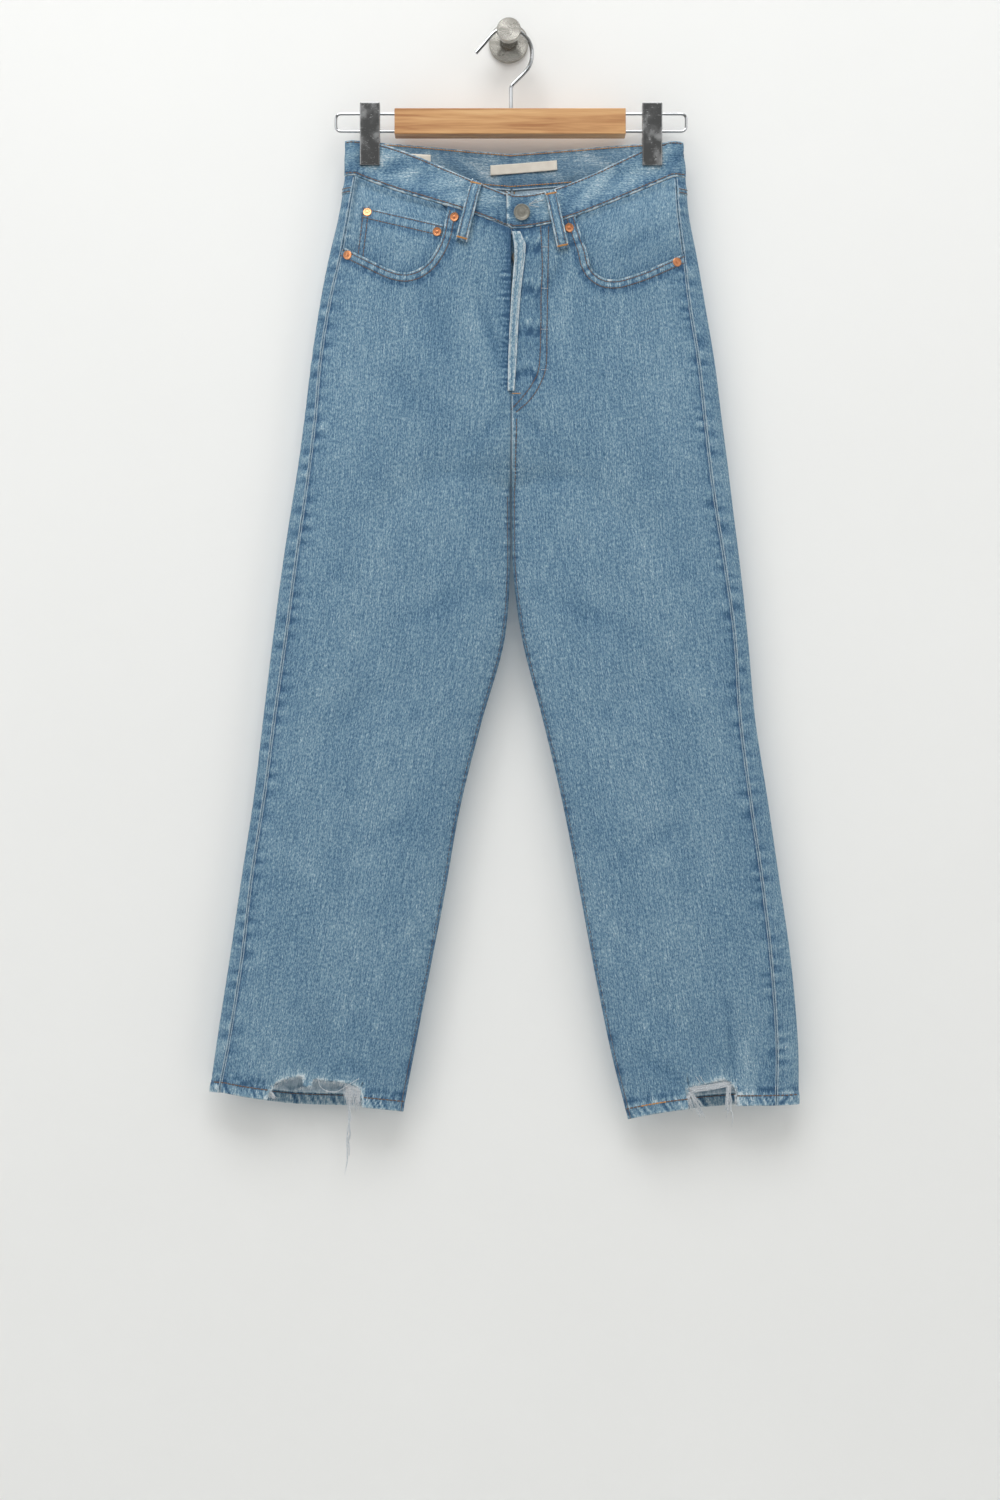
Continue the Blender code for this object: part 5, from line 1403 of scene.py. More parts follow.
def pocket_facing(side):
    rows, columns = FACING_GRID
    curve = along_line([(spot.x, spot.drop) for spot in OPENINGS[side]], columns)
    width = float(smooth(COLUMNS[side, "outer"], WAIST_SEAM))
    top_from = OPENINGS[side][0].x / width - 0.08
    top_across = np.linspace(top_from, float(seam_across(side, WAIST_SEAM)), columns)
    lean = 1 - np.linspace(0, 1, columns)
    under = 14.0
    place, across = find(side, FRONT, curve[:, 0] - under * lean, curve[:, 1] + under * (1 - lean * 0.8))
    across = np.minimum(across, short_of_outseam(side, place))
    top_across = np.minimum(top_across, float(short_of_outseam(side, WAIST_SEAM)))
    share = np.linspace(0, 1, rows)[:, None]
    place = (WAIST_SEAM + 0.01) + (place[None] - WAIST_SEAM - 0.01) * share
    across = top_across[None] + (across - top_across)[None] * share
    outseam = short_of_outseam(side, place)[:, -1:]
    across = across + (outseam - across[:, -1:]) * np.linspace(0, 1, columns) ** 2
    points, outs = laid(side, FRONT, place, across)
    over, down = arcs(points)
    # It lies behind the front panel, and comes up to the outseam and the waist seam where it is sewn in.
    from_side = over[:, -1:] - over
    past_start = seen_from_front(points, side)[0] - OPENINGS[side][0].x
    at_side = eased(1 - from_side / 5) * eased((0.95 - share) / 0.1)
    at_top = eased(1 - down / 8) * eased((past_start - 2) / 6)
    level = np.maximum(at_side, at_top)
    inset = FACING_INSETS[side] + (0.5 - FACING_INSETS[side]) * level
    points = points - outs * inset[..., None]
    x, drop = seen_from_front(points, side)
    over, down = arcs(points)
    seed = SEEDS["pocket_facing"][side]
    crease = trough(CREASES, side, FRONT, x, drop)
    wave = pucker(down, over, 10, 9, seed)
    side_wave = pucker(over[:, -1:] - over, drop, 11, 7, seed + 4)
    relief = 0.35 * wave + 0.3 * side_wave - 0.6 * crease
    off, _ = off_line(x, drop, opening_line(side))
    # Painted shade in the creases, along the pocket opening under the front panel's edge, and under the waist
    # seam.
    fade = 0.05 + 0.4 * wave + 0.35 * side_wave - 0.3 * crease - 0.28 * bell(off, 9) - 0.2 * bell(down, 3)
    return cloth("pocket_facing_" + side_name(side), points, outs, relief, fade)


def patch_grid(side, face, corners, inset, rows, columns, point=0.0):
    """A four-cornered piece laid on the skin, with its lower edge drawn to a point if asked."""
    top_out, top_in, foot_in, foot_out = (np.array(corner, float) for corner in corners)
    down = np.linspace(0, 1, rows)[:, None, None]
    over = np.linspace(0, 1, columns)[None, :, None]
    top = top_in + (top_out - top_in) * over
    foot = foot_in + (foot_out - foot_in) * over
    foot = foot + point * (1 - np.abs(2 * over - 1)) * np.array([0.0, 1.0])
    spots = top + (foot - top) * down
    place, across = find(side, face, spots[..., 0], spots[..., 1])
    points, outs = laid(side, face, place, across)
    return points - outs * inset, outs


def coin_pocket():
    points, outs = patch_grid(RIGHT, FRONT, COIN_CORNERS, COIN_INSET, *COIN_GRID)
    over, down = arcs(points)
    wave = pucker(np.abs(down - 7), over, 9, 8, 1000)
    from_side = over[:, -1:] - over
    side_wave = pucker(from_side, down, 8, 5, 1010)
    relief = band_rise(down, 13, 0.6) + groove(down, 2.2, 0.3, 0.8) + groove(down, 11.5, 0.4) + 0.25 * wave
    relief += band_rise(from_side, 6, 0.3) + groove(from_side, 2.2, 0.3, 0.8) + 0.25 * side_wave
    pull = bell(over - down * 0.7 - 12, 9)
    x, drop = seen_from_front(points, RIGHT)
    off, _ = off_line(x, drop, opening_line(RIGHT))
    fade = 0.4 * wave + 0.35 * side_wave + 0.2 * pull + edge_wear(down, 1021, over, 1.1, 0.8)
    fade += sewn(down, *COIN_TOP_ROWS) + sewn(from_side, *COIN_SIDE_ROWS)
    # Painted shade along the pocket opening and just below the folded top's edge.
    fade += edge_wear(from_side, 1022, down, 1.0, 0.5) - 0.3 * bell(off, 8) - 0.45 * bell(down - 15, 2.5)
    relief *= flat_at(COIN_RIVETS, x, drop)
    return cloth("coin_pocket", points, outs, relief, fade)


def back_pocket(side):
    points, outs = patch_grid(side, BACK, BACK_POCKET, -LAYER - 0.4, *BACK_POCKET_GRID, BACK_POCKET_POINT)
    over, down = arcs(points)
    edges = np.minimum(np.minimum(over, over[:, -1:] - over), down[-1:] - down)
    seed = SEEDS["back_pocket"][side]
    wave = pucker(edges, over + down, 8, 5, seed)
    top_wave = pucker(down, over, 9, 9, seed + 3)
    relief = 0.25 * wave + 0.3 * top_wave + band_rise(edges, 8.5, 0.45) + groove(edges, 2, 0.3, 0.8)
    relief += groove(edges, 8, 0.35)
    relief += band_rise(down, 15, 0.4) + groove(down, 13.5, 0.35)
    worn = np.exp(-(((over / over[:, -1:] - 0.5) / 0.33) ** 2) - (((down - 60) / 45) ** 2))
    fade = 0.35 * wave + 0.35 * top_wave + 0.2 * worn + edge_wear(edges, seed + 5, over + down, 1.2, 0.75)
    fade += edge_wear(down, seed + 6, over, 1.3, 0.8)
    fade += sewn(edges, 2, 8, dark=0.35) + sewn(down, 13.5, dark=0.35)
    return cloth("back_pocket_" + side_name(side), points, outs, relief, fade)


# ---------------------------------------------------------------- fly and labels
def fly_fold():
    drops = np.linspace(FLY_FOLD[0].drop, FLY_FOLD[-1].drop, FLY_FOLD_ROWS)
    table = np.array(FLY_FOLD)
    first, second = (np.interp(drops, table[:, 0], table[:, k]) for k in (1, 2))
    share = np.linspace(0, 1, FLY_FOLD_COLUMNS)
    x = first[:, None] + (second - first)[:, None] * share[None]
    place, across = find(LEFT, FRONT, x, np.broadcast_to(drops[:, None], x.shape))
    points, outs = laid(LEFT, FRONT, place, across)
    points = points + outs * (DENIM / 2 + SEAM_GAP + FLY_FOLD_THICK / 2)
    over, down = arcs(points)
    edge = np.minimum(over, over[:, -1:] - over)
    wave = pucker(edge, down, 7, 4, 1200)
    relief = 0.2 * wave + 0.35 * np.sin(np.pi * share)[None] - 0.25 * bell(over - 4.4, 1.2)
    # Painted shade in the groove along the strip.
    fade = 0.58 + 0.3 * wave + edge_wear(edge, 1201, down, 1.4, 1.2) - 0.6 * bell(over - 3.9, 1.0)
    return cloth("fly_fold", points, outs, relief, fade, FLY_FOLD_THICK)


def fly_underlap():
    stops = [(RIGHT, 22, LAYER + 0.5), (RIGHT, 14, LAYER + 0.5), (RIGHT, 5, BUTTON_DEPTH)]
    stops += [(LEFT, 5, BUTTON_DEPTH), (LEFT, 17, BUTTON_DEPTH), (LEFT, 28, BUTTON_DEPTH)]
    drops = np.linspace(FLY_UNDER_TOP, FLY_UNDER_FOOT, UNDERLAP_ROWS)
    found = [find(side, FRONT, np.full(UNDERLAP_ROWS, float(x)), drops) for side, x, _ in stops]
    side = np.broadcast_to(np.array([stop[0] for stop in stops]), (UNDERLAP_ROWS, len(stops)))
    place, across = (np.stack([column[k] for column in found], axis=1) for k in (0, 1))
    points, outs = laid(side, FRONT, place, across)
    points = points - outs * np.array([stop[2] for stop in stops])[None, :, None]
    _, down = arcs(points)
    fade = -0.15 + 0.1 * wander(down, 1301, 20)
    return cloth("fly_underlap", points, outs, np.zeros(fade.shape), fade)


def label(name, side, corners):
    inset = BAND / 2 + 2 * SEAM_GAP + LABEL_THICK / 2
    points, outs = patch_grid(side, BACK, corners, inset, *LABEL_GRID)
    over, _ = arcs(points)
    relief = 0.12 * wander(over, 1400 + side, 22)
    return cloth(name, points, outs, relief, np.zeros(relief.shape), LABEL_THICK, (WOVEN_LABEL,))


# ---------------------------------------------------------------- sewing thread
STITCH_LONG, STITCH_PITCH, STITCH_WIDE, STITCH_HIGH = 3.3, 3.3, 0.52, 0.40
LIFT = 0.12
HEM_STITCH = {"long": 3.7, "wide": 0.78, "high": 0.5}
BAR_STITCH = {"pitch": 1.1, "long": 1.6}
# A stitch's rings, each by its share along the stitch and its size.
RING = [(-0.5, 0.35), (-0.3, 1.0), (0.3, 1.0), (0.5, 0.35)]
SIDES = 5


def closed_piece(name, corners, faces, finish):
    """A smooth mesh of closed forms from corners in millimetres, with every face turned outwards."""
    shape = bpy.data.meshes.new(name)
    shape.from_pydata((corners * MM).tolist(), [], faces)
    shape.shade_smooth()
    turned = bmesh.new()
    turned.from_mesh(shape)
    bmesh.ops.recalc_face_normals(turned, faces=turned.faces)
    turned.to_mesh(shape)
    turned.free()
    return link(name, shape, finish)


class Sewing:
    """Stitches of one thread, gathered into one mesh."""

    def __init__(self, name, finish):
        self.name, self.finish = name, finish
        self.corners, self.quads, self.triangles = [], [], []

    def stitch(self, middle, heading, out, long=STITCH_LONG, wide=STITCH_WIDE, high=STITCH_HIGH):
        over = np.cross(out, heading)
        start = sum(len(c) for c in self.corners)
        ring = []
        for along, size in RING:
            for k in range(SIDES):
                angle = 2 * math.pi * k / SIDES
                ring.append(
                    middle
                    + heading * along * long
                    + over * math.cos(angle) * wide * size
                    + out * math.sin(angle) * high * size
                )
        self.corners.append(np.array(ring))
        for r in range(len(RING) - 1):
            for k in range(SIDES):
                n = (k + 1) % SIDES
                a, b = start + r * SIDES, start + (r + 1) * SIDES
                self.quads.append((a + k, a + n, b + n, b + k))
        for base, turn in ((start, (0, 2, 1)), (start + (len(RING) - 1) * SIDES, (0, 1, 2))):
            for k in range(1, SIDES - 1):
                fan = (base, base + k, base + k + 1)
                self.triangles.append(tuple(fan[t] for t in turn))

    def row(self, side, face, line, shell, pitch=STITCH_PITCH, seed=0, **sizes):
        """A row of stitches along a line of (x, drop) on the cloth."""
        line = np.asarray(line, float)
        length = np.linalg.norm(np.diff(line, axis=0), axis=1).sum()
        count = max(2, int(length / pitch))
        spots = along_line(line, count)
        place, across = find(side, face, spots[:, 0], spots[:, 1])
        self.lay(side, face, place, across, shell, seed, **sizes)

    def lay(self, side, face, place, across, shell, seed=0, **sizes):
        points, outs = laid(side, face, place, across)
        points = settle(points, outs, [shell], LIFT)
        headings = unit(np.gradient(points, axis=0))
        chance = np.random.default_rng(seed + 5)
        for point, heading, out in zip(points, headings, outs):
            over = np.cross(out, heading)
            lean = unit(heading + over * chance.uniform(-0.07, 0.07))
            self.stitch(point, lean, out, **sizes)

    def make(self):
        corners = np.concatenate(self.corners)
        piece = closed_piece(self.name, corners, self.quads + self.triangles, self.finish)


def sew_side(side, brown, orange):
    """The rows of one side's panels."""
    name = side_name(side)
    front, back = "front_panel_" + name, "back_panel_" + name
    yoked, pocket = "yoke_" + name, "back_pocket_" + name
    band_outer = OUTLINES[side][WAIST_TOP].outer
    band_count = int(band_outer / STITCH_PITCH)
    scoop = opening_line(side, 90)
    for row in SCOOP_ROWS:
        brown.row(side, FRONT, beside(scoop, -row)[2:-1], front, seed=int(10 * row))
    # Waistband: top and lower rows on the front, and both rows on the back.
    band_start = BAND_END / band_outer if side == LEFT else 0.02
    for low in (0.055, 0.925):
        at = np.full(band_count, low)
        front_share = np.linspace(band_start, 0.985, band_count)
        brown.lay(side, FRONT, at, front_share, "waistband", wide=0.72, long=3.5)
        brown.lay(side, BACK, at, np.linspace(0.01, 0.985, band_count), "waistband")
    # Yoke seam and seat seam, two rows each.
    seam = seam_across(side, YOKE_AT_SIDE)
    for row in (0.055, 0.175):
        share = np.linspace(0.012, 0.985, band_count)
        place = np.array([yoke_place(BACK, s) for s in share]) - row
        brown.lay(side, BACK, place, share, yoked)
        front_share = seam + (1 - seam) * np.linspace(0.3, 0.93, 5)
        brown.lay(side, FRONT, np.full(5, YOKE_AT_SIDE - row * 0.8), front_share, yoked)
    # Hems. One stretch of the left front's row was sewn again in orange.
    hem_width = float(width_at(side, HEM))

    def hem_row(thread, face, share, shell):
        thread.lay(side, face, above_hem(side, face, share, HEM_ROW), share, shell, **HEM_STITCH)

    tear = TEARS[side]
    end = float(seam_across(side, HEM))
    for start, stop in ((0.015, tear[0].across - 0.01), (tear[-1].across + 0.012, end - 0.01)):
        share = np.linspace(start, stop, max(3, int((stop - start) * hem_width / STITCH_PITCH)))
        resewn = (share > 0.09) & (share < 0.24) & (side == LEFT) & (start < 0.1)
        hem_row(brown, FRONT, share[~resewn], front)
        if resewn.any():
            hem_row(orange, FRONT, share[resewn], front)
    hem_row(brown, FRONT, np.linspace(end + 0.012, 0.978, 5), back)
    hem_row(brown, BACK, np.linspace(0.012, 0.985, int(hem_width / STITCH_PITCH)), back)
    # Inseam, one row on the front from the crotch to the hem, two on the back.
    place = np.linspace(7.25, 16.86, 190)
    brown.lay(side, FRONT, place, INSEAM_ROW / width_at(side, place), front, wide=0.3)
    for row in FELLED_ROWS:
        place = np.linspace(YOKE_AT_BACK + 0.1, 16.86, 260)
        brown.lay(side, BACK, place, row / width_at(side, place), back)
    # Back pocket, two rows round its sides and foot, and its hem.
    top_out, top_in, foot_in, foot_out = (np.array(corner, float) for corner in BACK_POCKET)
    tip = (foot_in + foot_out) / 2 + np.array([0, BACK_POCKET_POINT])
    centre = (top_out + top_in + foot_in + foot_out) / 4
    outline = np.array([top_in, foot_in, tip, foot_out, top_out])
    for size in (0.965, 0.87):
        brown.row(side, BACK, centre + (outline - centre) * size, pocket)
    across_hem = np.array([top_in + (foot_in - top_in) * 0.11, top_out + (foot_out - top_out) * 0.11])
    brown.row(side, BACK, across_hem + np.array([[3, 0], [-3, 0]]), pocket)


def sew():
    brown = Sewing("topstitching_brown", BROWN_THREAD)
    orange = Sewing("topstitching_orange", ORANGE_THREAD)
    pale = Sewing("seam_thread_pale", PALE_THREAD)
    for side in (RIGHT, LEFT):
        sew_side(side, brown, orange)
    # Fly.
    for line in FLY_STITCH:
        brown.row(LEFT, FRONT, curved(line, 70), "front_panel_left")
    drops, first, second = np.array(FLY_FOLD).T
    for share in (0.2, 0.78):
        line = np.stack([first + (second - first) * share, drops], axis=1)
        pale.row(LEFT, FRONT, line[1:-1], "fly_fold", wide=0.3)
    brown.row(LEFT, FRONT, [(5.6, 296), (4.6, 345), (4.2, 388)], "front_panel_left")
    # Coin pocket.
    top_out, top_in, _, foot_out = (np.array(corner, float) for corner in COIN_CORNERS)
    across_top = np.array([top_in + (top_out - top_in) * 0.03, top_out - (top_out - top_in) * 0.03])
    for drop in COIN_TOP_ROWS:
        brown.row(RIGHT, FRONT, across_top + np.array([0, drop]), "coin_pocket")
    down_side = np.array([top_out, foot_out])
    for over in COIN_SIDE_ROWS:
        brown.row(RIGHT, FRONT, down_side + np.array([[-over, 2], [-over, -4]]), "coin_pocket")
    # Belt loops: two rows each, with an orange bar at each end.
    for loop in LOOPS:
        top, foot = np.array([loop.top_x, loop.top_drop]), np.array([loop.foot_x, loop.foot_drop])
        run = (foot - top) / np.linalg.norm(foot - top)
        over = np.array([run[1], -run[0]])
        shell = "belt_loop_" + loop.name
        for offset in (-3.9, 3.9):
            line = np.array([top + run * 2 + over * offset, foot - run * 2 + over * offset])
            brown.row(loop.side, loop.face, line, shell, wide=0.34)
        for middle in (top + run * 3, foot - run * 3):
            for k in (-0.35, 0.35):
                line = np.array([middle - over * 5 + run * k, middle + over * 5 + run * k])
                orange.row(loop.side, loop.face, line, shell, wide=0.62, **BAR_STITCH)
    # Worn threads of the waist's buttonhole.
    for line in ([(19.0, 74.0), (32.0, 69.5)], [(19.5, 75.0), (27.5, 76.5)], [(19.5, 73.0), (25.5, 69.5)]):
        pale.row(LEFT, FRONT, line, "waistband", pitch=1.5, long=2.6, wide=0.4)
    # Bars on the fly.
    orange.row(LEFT, FRONT, [(-2.5, 268.5), (9, 268.5)], "front_panel_left", wide=0.5, **BAR_STITCH)
    for drop in (117.6, 159.6, 201.6, 243.6):
        pale.row(LEFT, FRONT, [(32, drop), (37.5, drop)], "front_panel_left", pitch=1.2, long=1.6, wide=0.4)
    for thread in (brown, orange, pale):
        thread.make()


def inside_stitches():
    """What shows inside: the chain stitch along the back waistband's top, the row that holds its lower edge,
    two short stitches at the centre back, and the back hems' rows seen through the tears."""
    orange = Sewing("inside_waist_orange", ORANGE_THREAD)
    brown = Sewing("inside_hem_brown", BROWN_THREAD)

    def inner_row(sewing, side, place, share, shell, **sizes):
        outs = -outward(side, BACK, place, share)
        points = settle(skin(side, BACK, place, share), outs, [shell], 0.15)
        for point, heading, out in zip(points, unit(np.gradient(points, axis=0)), outs):
            sewing.stitch(point, heading, out, **sizes)

    for side in (RIGHT, LEFT):
        outer = OUTLINES[side][WAIST_TOP].outer
        for low, reach in ((0.045, 0.78), (0.895, 0.34)):
            count = int(outer * reach / 2.7)
            share = np.linspace(0.004, reach, count)
            inner_row(orange, side, np.full(count, low), share, "waistband", long=2.5, wide=0.62, high=0.5)
        share = np.linspace(0.3, 0.75, 34)
        place = above_hem(side, BACK, share, HEM_ROW)
        inner_row(brown, side, place, share, "back_panel_" + side_name(side), long=2.6)
    for x in (-4.5, 2.5):
        place = np.linspace(1.05, 1.14, 2)
        side = LEFT if x > 0 else RIGHT
        share = np.full(2, abs(x) / OUTLINES[side][WAIST_SEAM].outer)
        inner_row(orange, side, place, share, "yoke_" + side_name(side), long=2.8, wide=0.6)
    orange.make()
    brown.make()


def cord_along(points, outs, radius):
    """A cord's rings along points, flattened a little against the cloth."""
    over = np.cross(outs, unit(np.gradient(points, axis=0)))
    angles = np.arange(6) * 2 * math.pi / 6
    rings = [points + (over * (1.2 * math.cos(a)) + outs * math.sin(a)) * radius[:, None] for a in angles]
    return np.stack(rings, axis=1)


def seam_ridges():
    """The pressed edges that stand up along the outseams and the front rise, as fine pale cords."""
    place = np.linspace(WAIST_SEAM + 0.06, HEM - 0.02, 460)
    for side in (RIGHT, LEFT):
        grids = []
        for offset, size in ((-1.2, 0.32), (1.05, 0.44)):
            across = seam_across(side, place) + offset / width_at(side, place)
            points, outs = laid(side, FRONT, place, across)
            kinds = ("front_panel_" if offset < 0 else "back_panel_", "yoke_", "pocket_facing_")
            points = settle(points, outs, [kind + side_name(side) for kind in kinds])
            radius = size * (1 + 0.2 * wander(WAIST_Z - points[:, 2], 1500 + side, 12))
            grids.append(cord_along(points, outs, radius))
        tube_mesh("outseam_ridge_" + side_name(side), grids, DENIM_RIDGE)
    # The front rise below the fly, down to where the legs part.
    drops = np.linspace(271, 345, 60)
    place, across = find(LEFT, FRONT, np.full(60, 1.3), drops)
    points, outs = laid(LEFT, FRONT, place, across)
    points = settle(points, outs, ["front_panel_left"], 0.1)
    radius = 0.42 + 0.12 * wander(drops, 1520, 9)
    rise = [cord_along(points, outs, radius)]
    # The raw edge under the back waistband, inside.
    for side in (RIGHT, LEFT):
        share = np.linspace(0.004, 0.36, 60)
        place = np.full(60, 0.982)
        outs = -outward(side, BACK, place, share)
        points = settle(skin(side, BACK, place, share), outs, ["waistband"], -0.2)
        rise.append(cord_along(points, outs, 0.85 + 0.1 * wander(share * 180, 1530 + side, 8)))
    # The seat seam's edge, inside, at the centre back.
    place = np.linspace(1.0, 1.32, 16)
    share = np.full(16, 0.0012)
    outs = -outward(LEFT, BACK, place, share)
    points = skin(LEFT, BACK, place, share) + outs * 0.75
    rise.append(cord_along(points, outs, np.full(16, 0.7)))
    tube_mesh("raw_edges", rise, DENIM_RIDGE)


def tube_mesh(name, grids, finish):
    """One mesh from closed tubes, each a grid of rings."""
    corners, faces, start = [], [], 0
    for grid in grids:
        rows, sides = grid.shape[:2]
        corners.append(grid.reshape(-1, 3))
        index = np.arange(rows * sides).reshape(rows, sides) + start
        following = np.roll(index, -1, axis=1)
        walls = [index[:-1], following[:-1], following[1:], index[1:]]
        faces += np.stack(walls, axis=-1).reshape(-1, 4).tolist()
        faces += [index[0][::-1].tolist(), index[-1].tolist()]
        start += rows * sides
    return closed_piece(name, np.concatenate(corners), faces, finish)


def thread_grid(path, radius, sides=3):
    """A thread's rings round a path, thinner at its end."""
    path = np.asarray(path, float)
    heading = unit(np.gradient(path, axis=0))
    first = unit(np.cross(heading, np.array([0.31, 0.9, 0.29])))
    second = np.cross(heading, first)
    size = radius * np.concatenate([np.ones(len(path) - 2), [0.8, 0.35]])
    angles = np.arange(sides) * 2 * math.pi / sides
    rings = [path + (first * math.cos(a) + second * math.sin(a)) * size[:, None] for a in angles]
    return np.stack(rings, axis=1)


# ---------------------------------------------------------------- loose threads at the torn hems
def hanging(chance, start, length, lean, curl=1.0):
    """The path of a loose thread that hangs from a point, with its own curl."""
    share = np.linspace(0, 1, max(6, int(length / 2.2)))
    wave = chance.uniform(0.3, 1.0, 2) * curl
    phase = chance.uniform(0, FULL_TURN, 2)
    turns = chance.uniform(0.6, 1.6, 2) * max(length / 22, 0.8)
    x = start[0] + lean * share + wave[0] * np.sin(turns[0] * FULL_TURN * share + phase[0]) * share**0.7
    y = start[1] - 0.6 * share + wave[1] * 0.6 * np.sin(turns[1] * FULL_TURN * share + phase[1]) * share
    return np.stack([x, y, start[2] - length * share], axis=1)


def twisted(chance, spine, spread_out, count):
    """A few fibres round a spine, loosening towards its end."""
    share = np.linspace(0, 1, len(spine))
    made = []
    for _ in range(count):
        phase, turns = chance.uniform(0, FULL_TURN), chance.uniform(2.0, 4.5)
        swing = spread_out * (0.55 + 0.6 * share) * chance.uniform(0.6, 1.2)
        angle = phase + turns * FULL_TURN * share
        offset = np.stack([np.cos(angle), np.sin(angle), 0 * share], axis=1) * swing[:, None]
        keep = max(6, int(len(spine) * chance.uniform(0.8, 1.0)))
        made.append(thread_grid((spine + offset)[:keep], 0.3 * chance.uniform(0.8, 1.15)))
    return made


def torn_point(side, across, height, out=0.0):
    """A point on the front hem, at a height above its edge."""
    place = above_hem(side, FRONT, np.array([across]), np.array([height]))
    share = np.array([across])
    points, outs = laid(side, FRONT, place, share)
    return (points + out * outs)[0]


def fringe(side):
    """All loose threads of one torn hem, as one piece."""
    chance = np.random.default_rng(77 + side)
    grids = []

    def tuft(across, height, length, lean, count, radius=0.26, curl=1.0, wide=0.0):
        for _ in range(count):
            share = across + chance.uniform(-wide, wide)
            start = torn_point(side, share, height + chance.uniform(-1, 1), chance.uniform(-0.5, 0.9))
            long = length * chance.uniform(0.65, 1.1)
            path = hanging(chance, start, long, side * lean * chance.uniform(0.6, 1.3), curl)
            grids.append(thread_grid(path, radius * chance.uniform(0.75, 1.15)))

    if side == RIGHT:
        tuft(0.272, 21, 24, 0, 62, wide=0.035, curl=1.6)
        tuft(0.300, 21, 17, 0, 22, wide=0.020, curl=1.4)
        tuft(0.243, 15, 13, 0, 16, wide=0.015, curl=1.2)
        for across, length, lean in ((0.287, 94, -4), (0.283, 78, -2.0), (0.279, 66, -3), (0.291, 58, 1.5)):
            start = torn_point(side, across, 17, 0.5)
            spine = hanging(chance, start, length, lean, 1.5)
            grids += twisted(chance, spine, 0.75, 5)
        # The flank of the tear, and short ends all along it.
        tuft(0.690, 9, 8, -4, 34, wide=0.014)
        for stop in TEARS[side][2:-2]:
            tuft(stop.across, stop.height, 3.2, 1, 9, radius=0.2, wide=0.018)
        # The curly thread that springs across the opening.
        curl_stops = ((0.46, 27), (0.43, 17), (0.36, 14), (0.30, 22), (0.25, 30))
        stops = np.array([torn_point(side, share, high, 2) for share, high in curl_stops])
        places = np.linspace(0, len(stops) - 1, 40)
        grids.append(thread_grid(np.stack([smooth(stops[:, k], places) for k in range(3)], axis=1), 0.32))
    else:
        # White weft left lying across the tear.
        for k in range(26):
            lift = chance.uniform(-2.9, 2.9)
            shares = np.linspace(0.366 + chance.uniform(0, 0.02), 0.612 - chance.uniform(0, 0.02), 26)
            heights = np.interp(shares, [0.36, 0.62], [18.8, 23.2]) + lift
            heights = heights + 0.5 * wander(shares * 180, 1600 + k, 30)
            points, outs = laid(side, FRONT, above_hem(side, FRONT, shares, heights), shares)
            path = points + outs * chance.uniform(-0.7, 1.0)
            grids.append(thread_grid(path, 0.34 * chance.uniform(0.8, 1.2), sides=4))
        tuft(0.372, 17, 24, 13, 30, wide=0.012, curl=1.0)
        tuft(0.360, 14, 16, 4, 18, wide=0.010, curl=1.2)
        tuft(0.600, 22, 26, -2, 34, wide=0.014, curl=1.2)
        tuft(0.632, 12, 12, 1, 14, wide=0.008)
        for across, length, lean in ((0.603, 44, 3), (0.598, 36, -4), (0.592, 31, 2)):
            start = torn_point(side, across, 20, 0.6)
            grids += twisted(chance, hanging(chance, start, length, lean, 2.0), 0.4, 3)
        for across, height in ((0.44, 26), (0.46, 26.5)):
            start = torn_point(side, across, height, 1.0)
            path = hanging(chance, start, 7, -5, 0.8)
            path[:, 2] = 2 * start[2] - path[:, 2]
            grids.append(thread_grid(path, 0.28))
        for stop in TEARS[side][3:-2]:
            tuft(stop.across, stop.height, 2.6, 1, 5, radius=0.2, wide=0.02)
    piece = tube_mesh("loose_threads_" + side_name(side), grids, LOOSE_THREAD)
    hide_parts("fray_" + side_name(side))
    return piece


# ---------------------------------------------------------------- camera, light and stage
def plain(name, colour):
    made, nodes, shader = new_finish(name)
    paint = nodes.noise(nodes.place(), scale=3, detail=4)
    low = tuple(0.985 * c for c in colour)
    nodes.set(shader, Base_Color=nodes.ramp(paint, (0.3, low), (0.7, colour)))
    nodes.set(shader, Roughness=0.9, Specular_IOR_Level=0.1)
    return made, nodes, shader


def square(name, corners, finish):
    """A four-cornered part of the stage, which throws no shadow."""
    mesh = bpy.data.meshes.new(name)
    mesh.from_pydata(corners, [], [(0, 1, 2, 3)])
    mesh.materials.append(finish)
    piece = bpy.data.objects.new(name, mesh)
    bpy.context.scene.collection.objects.link(piece)
    piece.visible_shadow = False


def stage():
    """A pale wall, seen only from the front, and a pale floor below."""
    wall_paint, nodes, shader = plain("wall_paint", (0.845, 0.85, 0.84))
    clear = nodes.add("BsdfTransparent").outputs[0]
    mix = nodes.add("MixShader", Fac=nodes.add("NewGeometry").outputs["Backfacing"])
    nodes.fill(mix.inputs[1], shader.outputs[0])
    nodes.fill(mix.inputs[2], clear)
    nodes.set(nodes.nodes["Material Output"], Surface=mix.outputs[0])
    wall_y, wall_top, floor = 0.0006, 4, -2.6
    wall = [(-6, wall_y, floor), (6, wall_y, floor), (6, wall_y, wall_top), (-6, wall_y, wall_top)]
    square("stage_wall", wall, wall_paint)
    ground = [(-9, -9, floor), (9, -9, floor), (9, 9, floor), (-9, 9, floor)]
    square("stage_floor", ground, plain("floor_paint", (0.8, 0.8, 0.79))[0])


def area_light(name, place, towards, size, watts):
    lamp = bpy.data.lights.new(name, "AREA")
    lamp.shape, lamp.size, lamp.size_y, lamp.energy = "RECTANGLE", size[0], size[1], watts
    made = bpy.data.objects.new(name, lamp)
    made.location = place
    made.rotation_euler = (Vector(towards) - Vector(place)).to_track_quat("-Z", "Y").to_euler()
    bpy.context.scene.collection.objects.link(made)


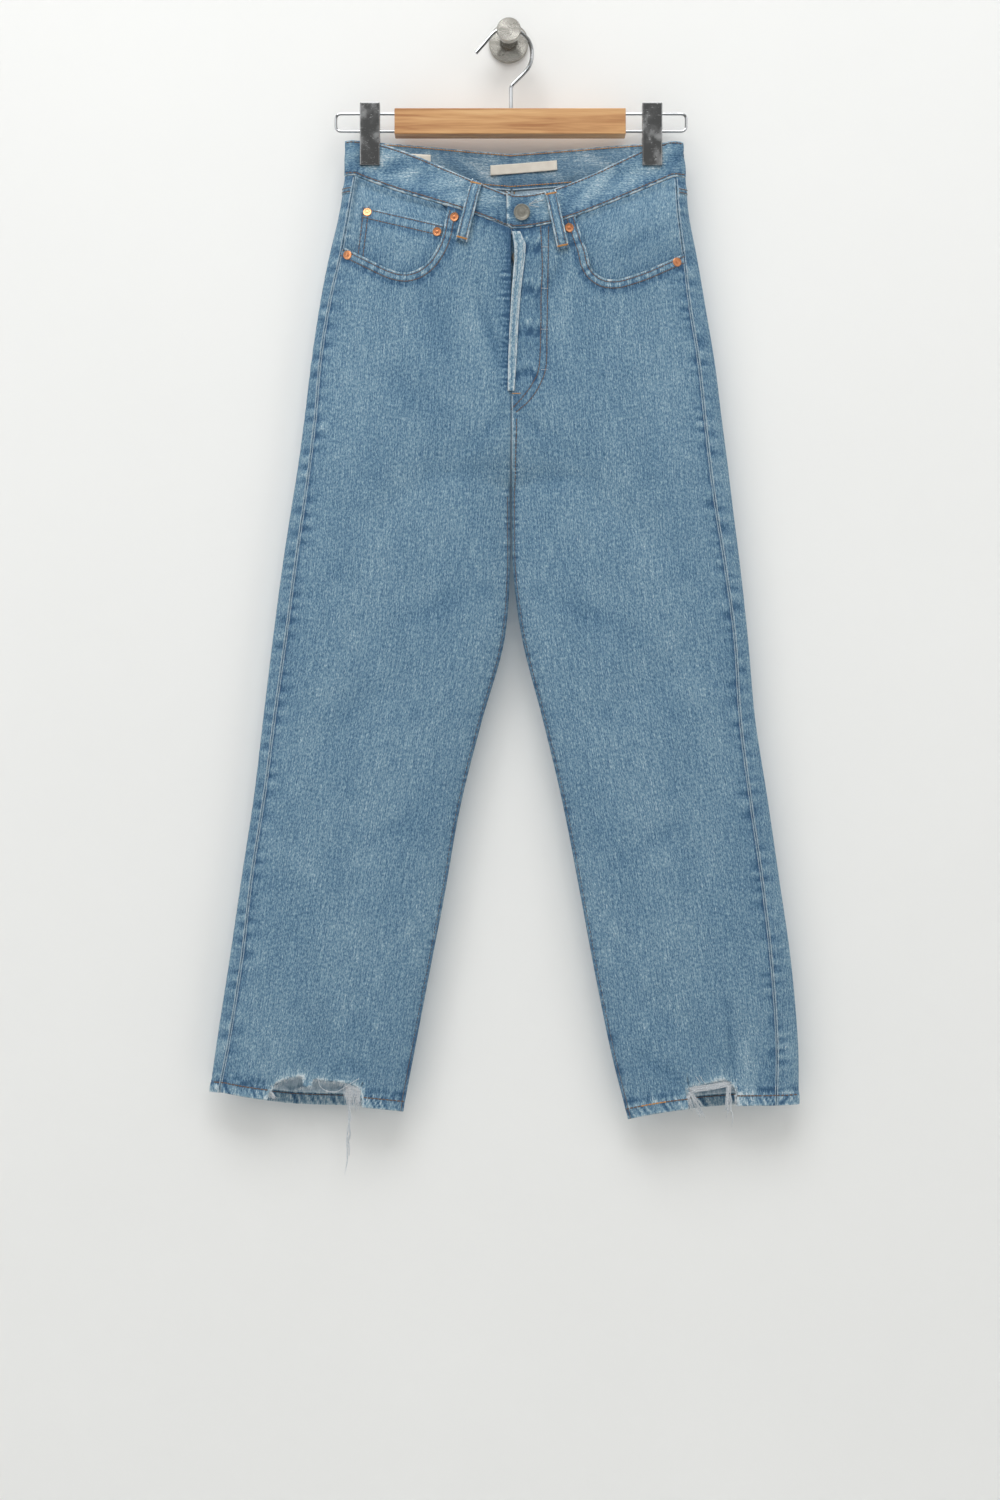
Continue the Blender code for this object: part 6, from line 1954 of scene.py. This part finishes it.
CAMERA_AWAY, LENS_WIDTH = 2450, 36  # in millimetres
WALL_SCALE = 1.062  # millimetres of the wall to each of the photo's pixels
PHOTO_HEIGHT = 1500


def light_and_camera():
    world = bpy.data.worlds.new("studio")
    world.use_nodes = True
    nodes = Nodes(world.node_tree)
    # The room is bright overhead and behind, and darker where the camera stands.
    axes = nodes.add("SeparateXYZ", Vector=nodes.add("TexCoord").outputs["Generated"]).outputs
    overhead = nodes.spread(axes["Z"], -0.1, 0.55, 0.0, 1.0)
    behind = nodes.spread(axes["Y"], -0.75, -0.1, 0.0, 0.8)
    dark, bright = (0.12, 0.12, 0.115), (1.0, 1.0, 0.985)
    brightness = nodes.ramp(nodes.total(overhead, behind), (0.0, dark), (1.0, bright))
    nodes.set(nodes.nodes["Background"], Color=brightness, Strength=0.68)
    scene = bpy.context.scene
    scene.world = world
    scene.view_settings.view_transform = "Standard"
    area_light("ceiling_front", (-0.3, -2.0, 2.1), (0, 0, 0), (2.8, 1.8), 70)
    area_light("window_left", (-2.6, -2.2, 0.2), (0, 0, -0.8), (1.2, 2.2), 14)
    area_light("window_right", (2.6, -2.2, 0.2), (0, 0, -0.8), (1.2, 2.2), 11)
    area_light("behind_fill", (0.4, 3.0, 0.6), (0, 0, -0.7), (3.0, 2.4), 55)
    camera_data = bpy.data.cameras.new("camera")
    camera_data.sensor_width = LENS_WIDTH
    camera_data.lens = LENS_WIDTH * CAMERA_AWAY / (PHOTO_HEIGHT * WALL_SCALE)
    camera = bpy.data.objects.new("camera", camera_data)
    camera.location = (-0.0092, -CAMERA_AWAY * MM, -0.75)
    camera.rotation_euler = (math.pi / 2, 0, 0)
    scene.collection.objects.link(camera)
    scene.camera = camera


# ---------------------------------------------------------------- everything together
Cut = namedtuple("Cut", "width length share")  # in metres, and the share of that rectangle that the cut fills


def declare(piece):
    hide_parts(piece.name.removesuffix("_cloth"))


def dress():
    stage()
    light_and_camera()
    band = waistband()
    for side in (RIGHT, LEFT):
        front, back, yoked = front_panel(side), back_panel(side), yoke(side)
        fray = fringe(side)
        declare(front)
        declare(back)
        declare(yoked)
        declare(pocket_facing(side))
        declare(back_pocket(side))
    declare(coin_pocket())
    declare(fly_fold())
    declare(fly_underlap())
    for loop in LOOPS:
        declare(belt_loop(loop))
    declare(label("size_label", LEFT, SIZE_LABEL))
    declare(label("care_label", RIGHT, CARE_LABEL))
    declare(band)
    sew()
    inside_stitches()
    seam_ridges()


def finish_hard_pieces():
    finishes = {
        "rivet_": COPPER,
        "waist_button": OLD_NICKEL,
        "fly_button": OLD_NICKEL,
        "hanger_bar": WOOD,
        "hanger_wire": CHROME,
        "hanger_hook": CHROME,
        "clip_": CLIP_CHROME,
        "wall_": STEEL,
    }
    for name, node in frame["nodes"].items():
        for start, finish in finishes.items():
            if name.startswith(start):
                for slot in node.material_slots:
                    slot.material = finish


dress()
finish_hard_pieces()
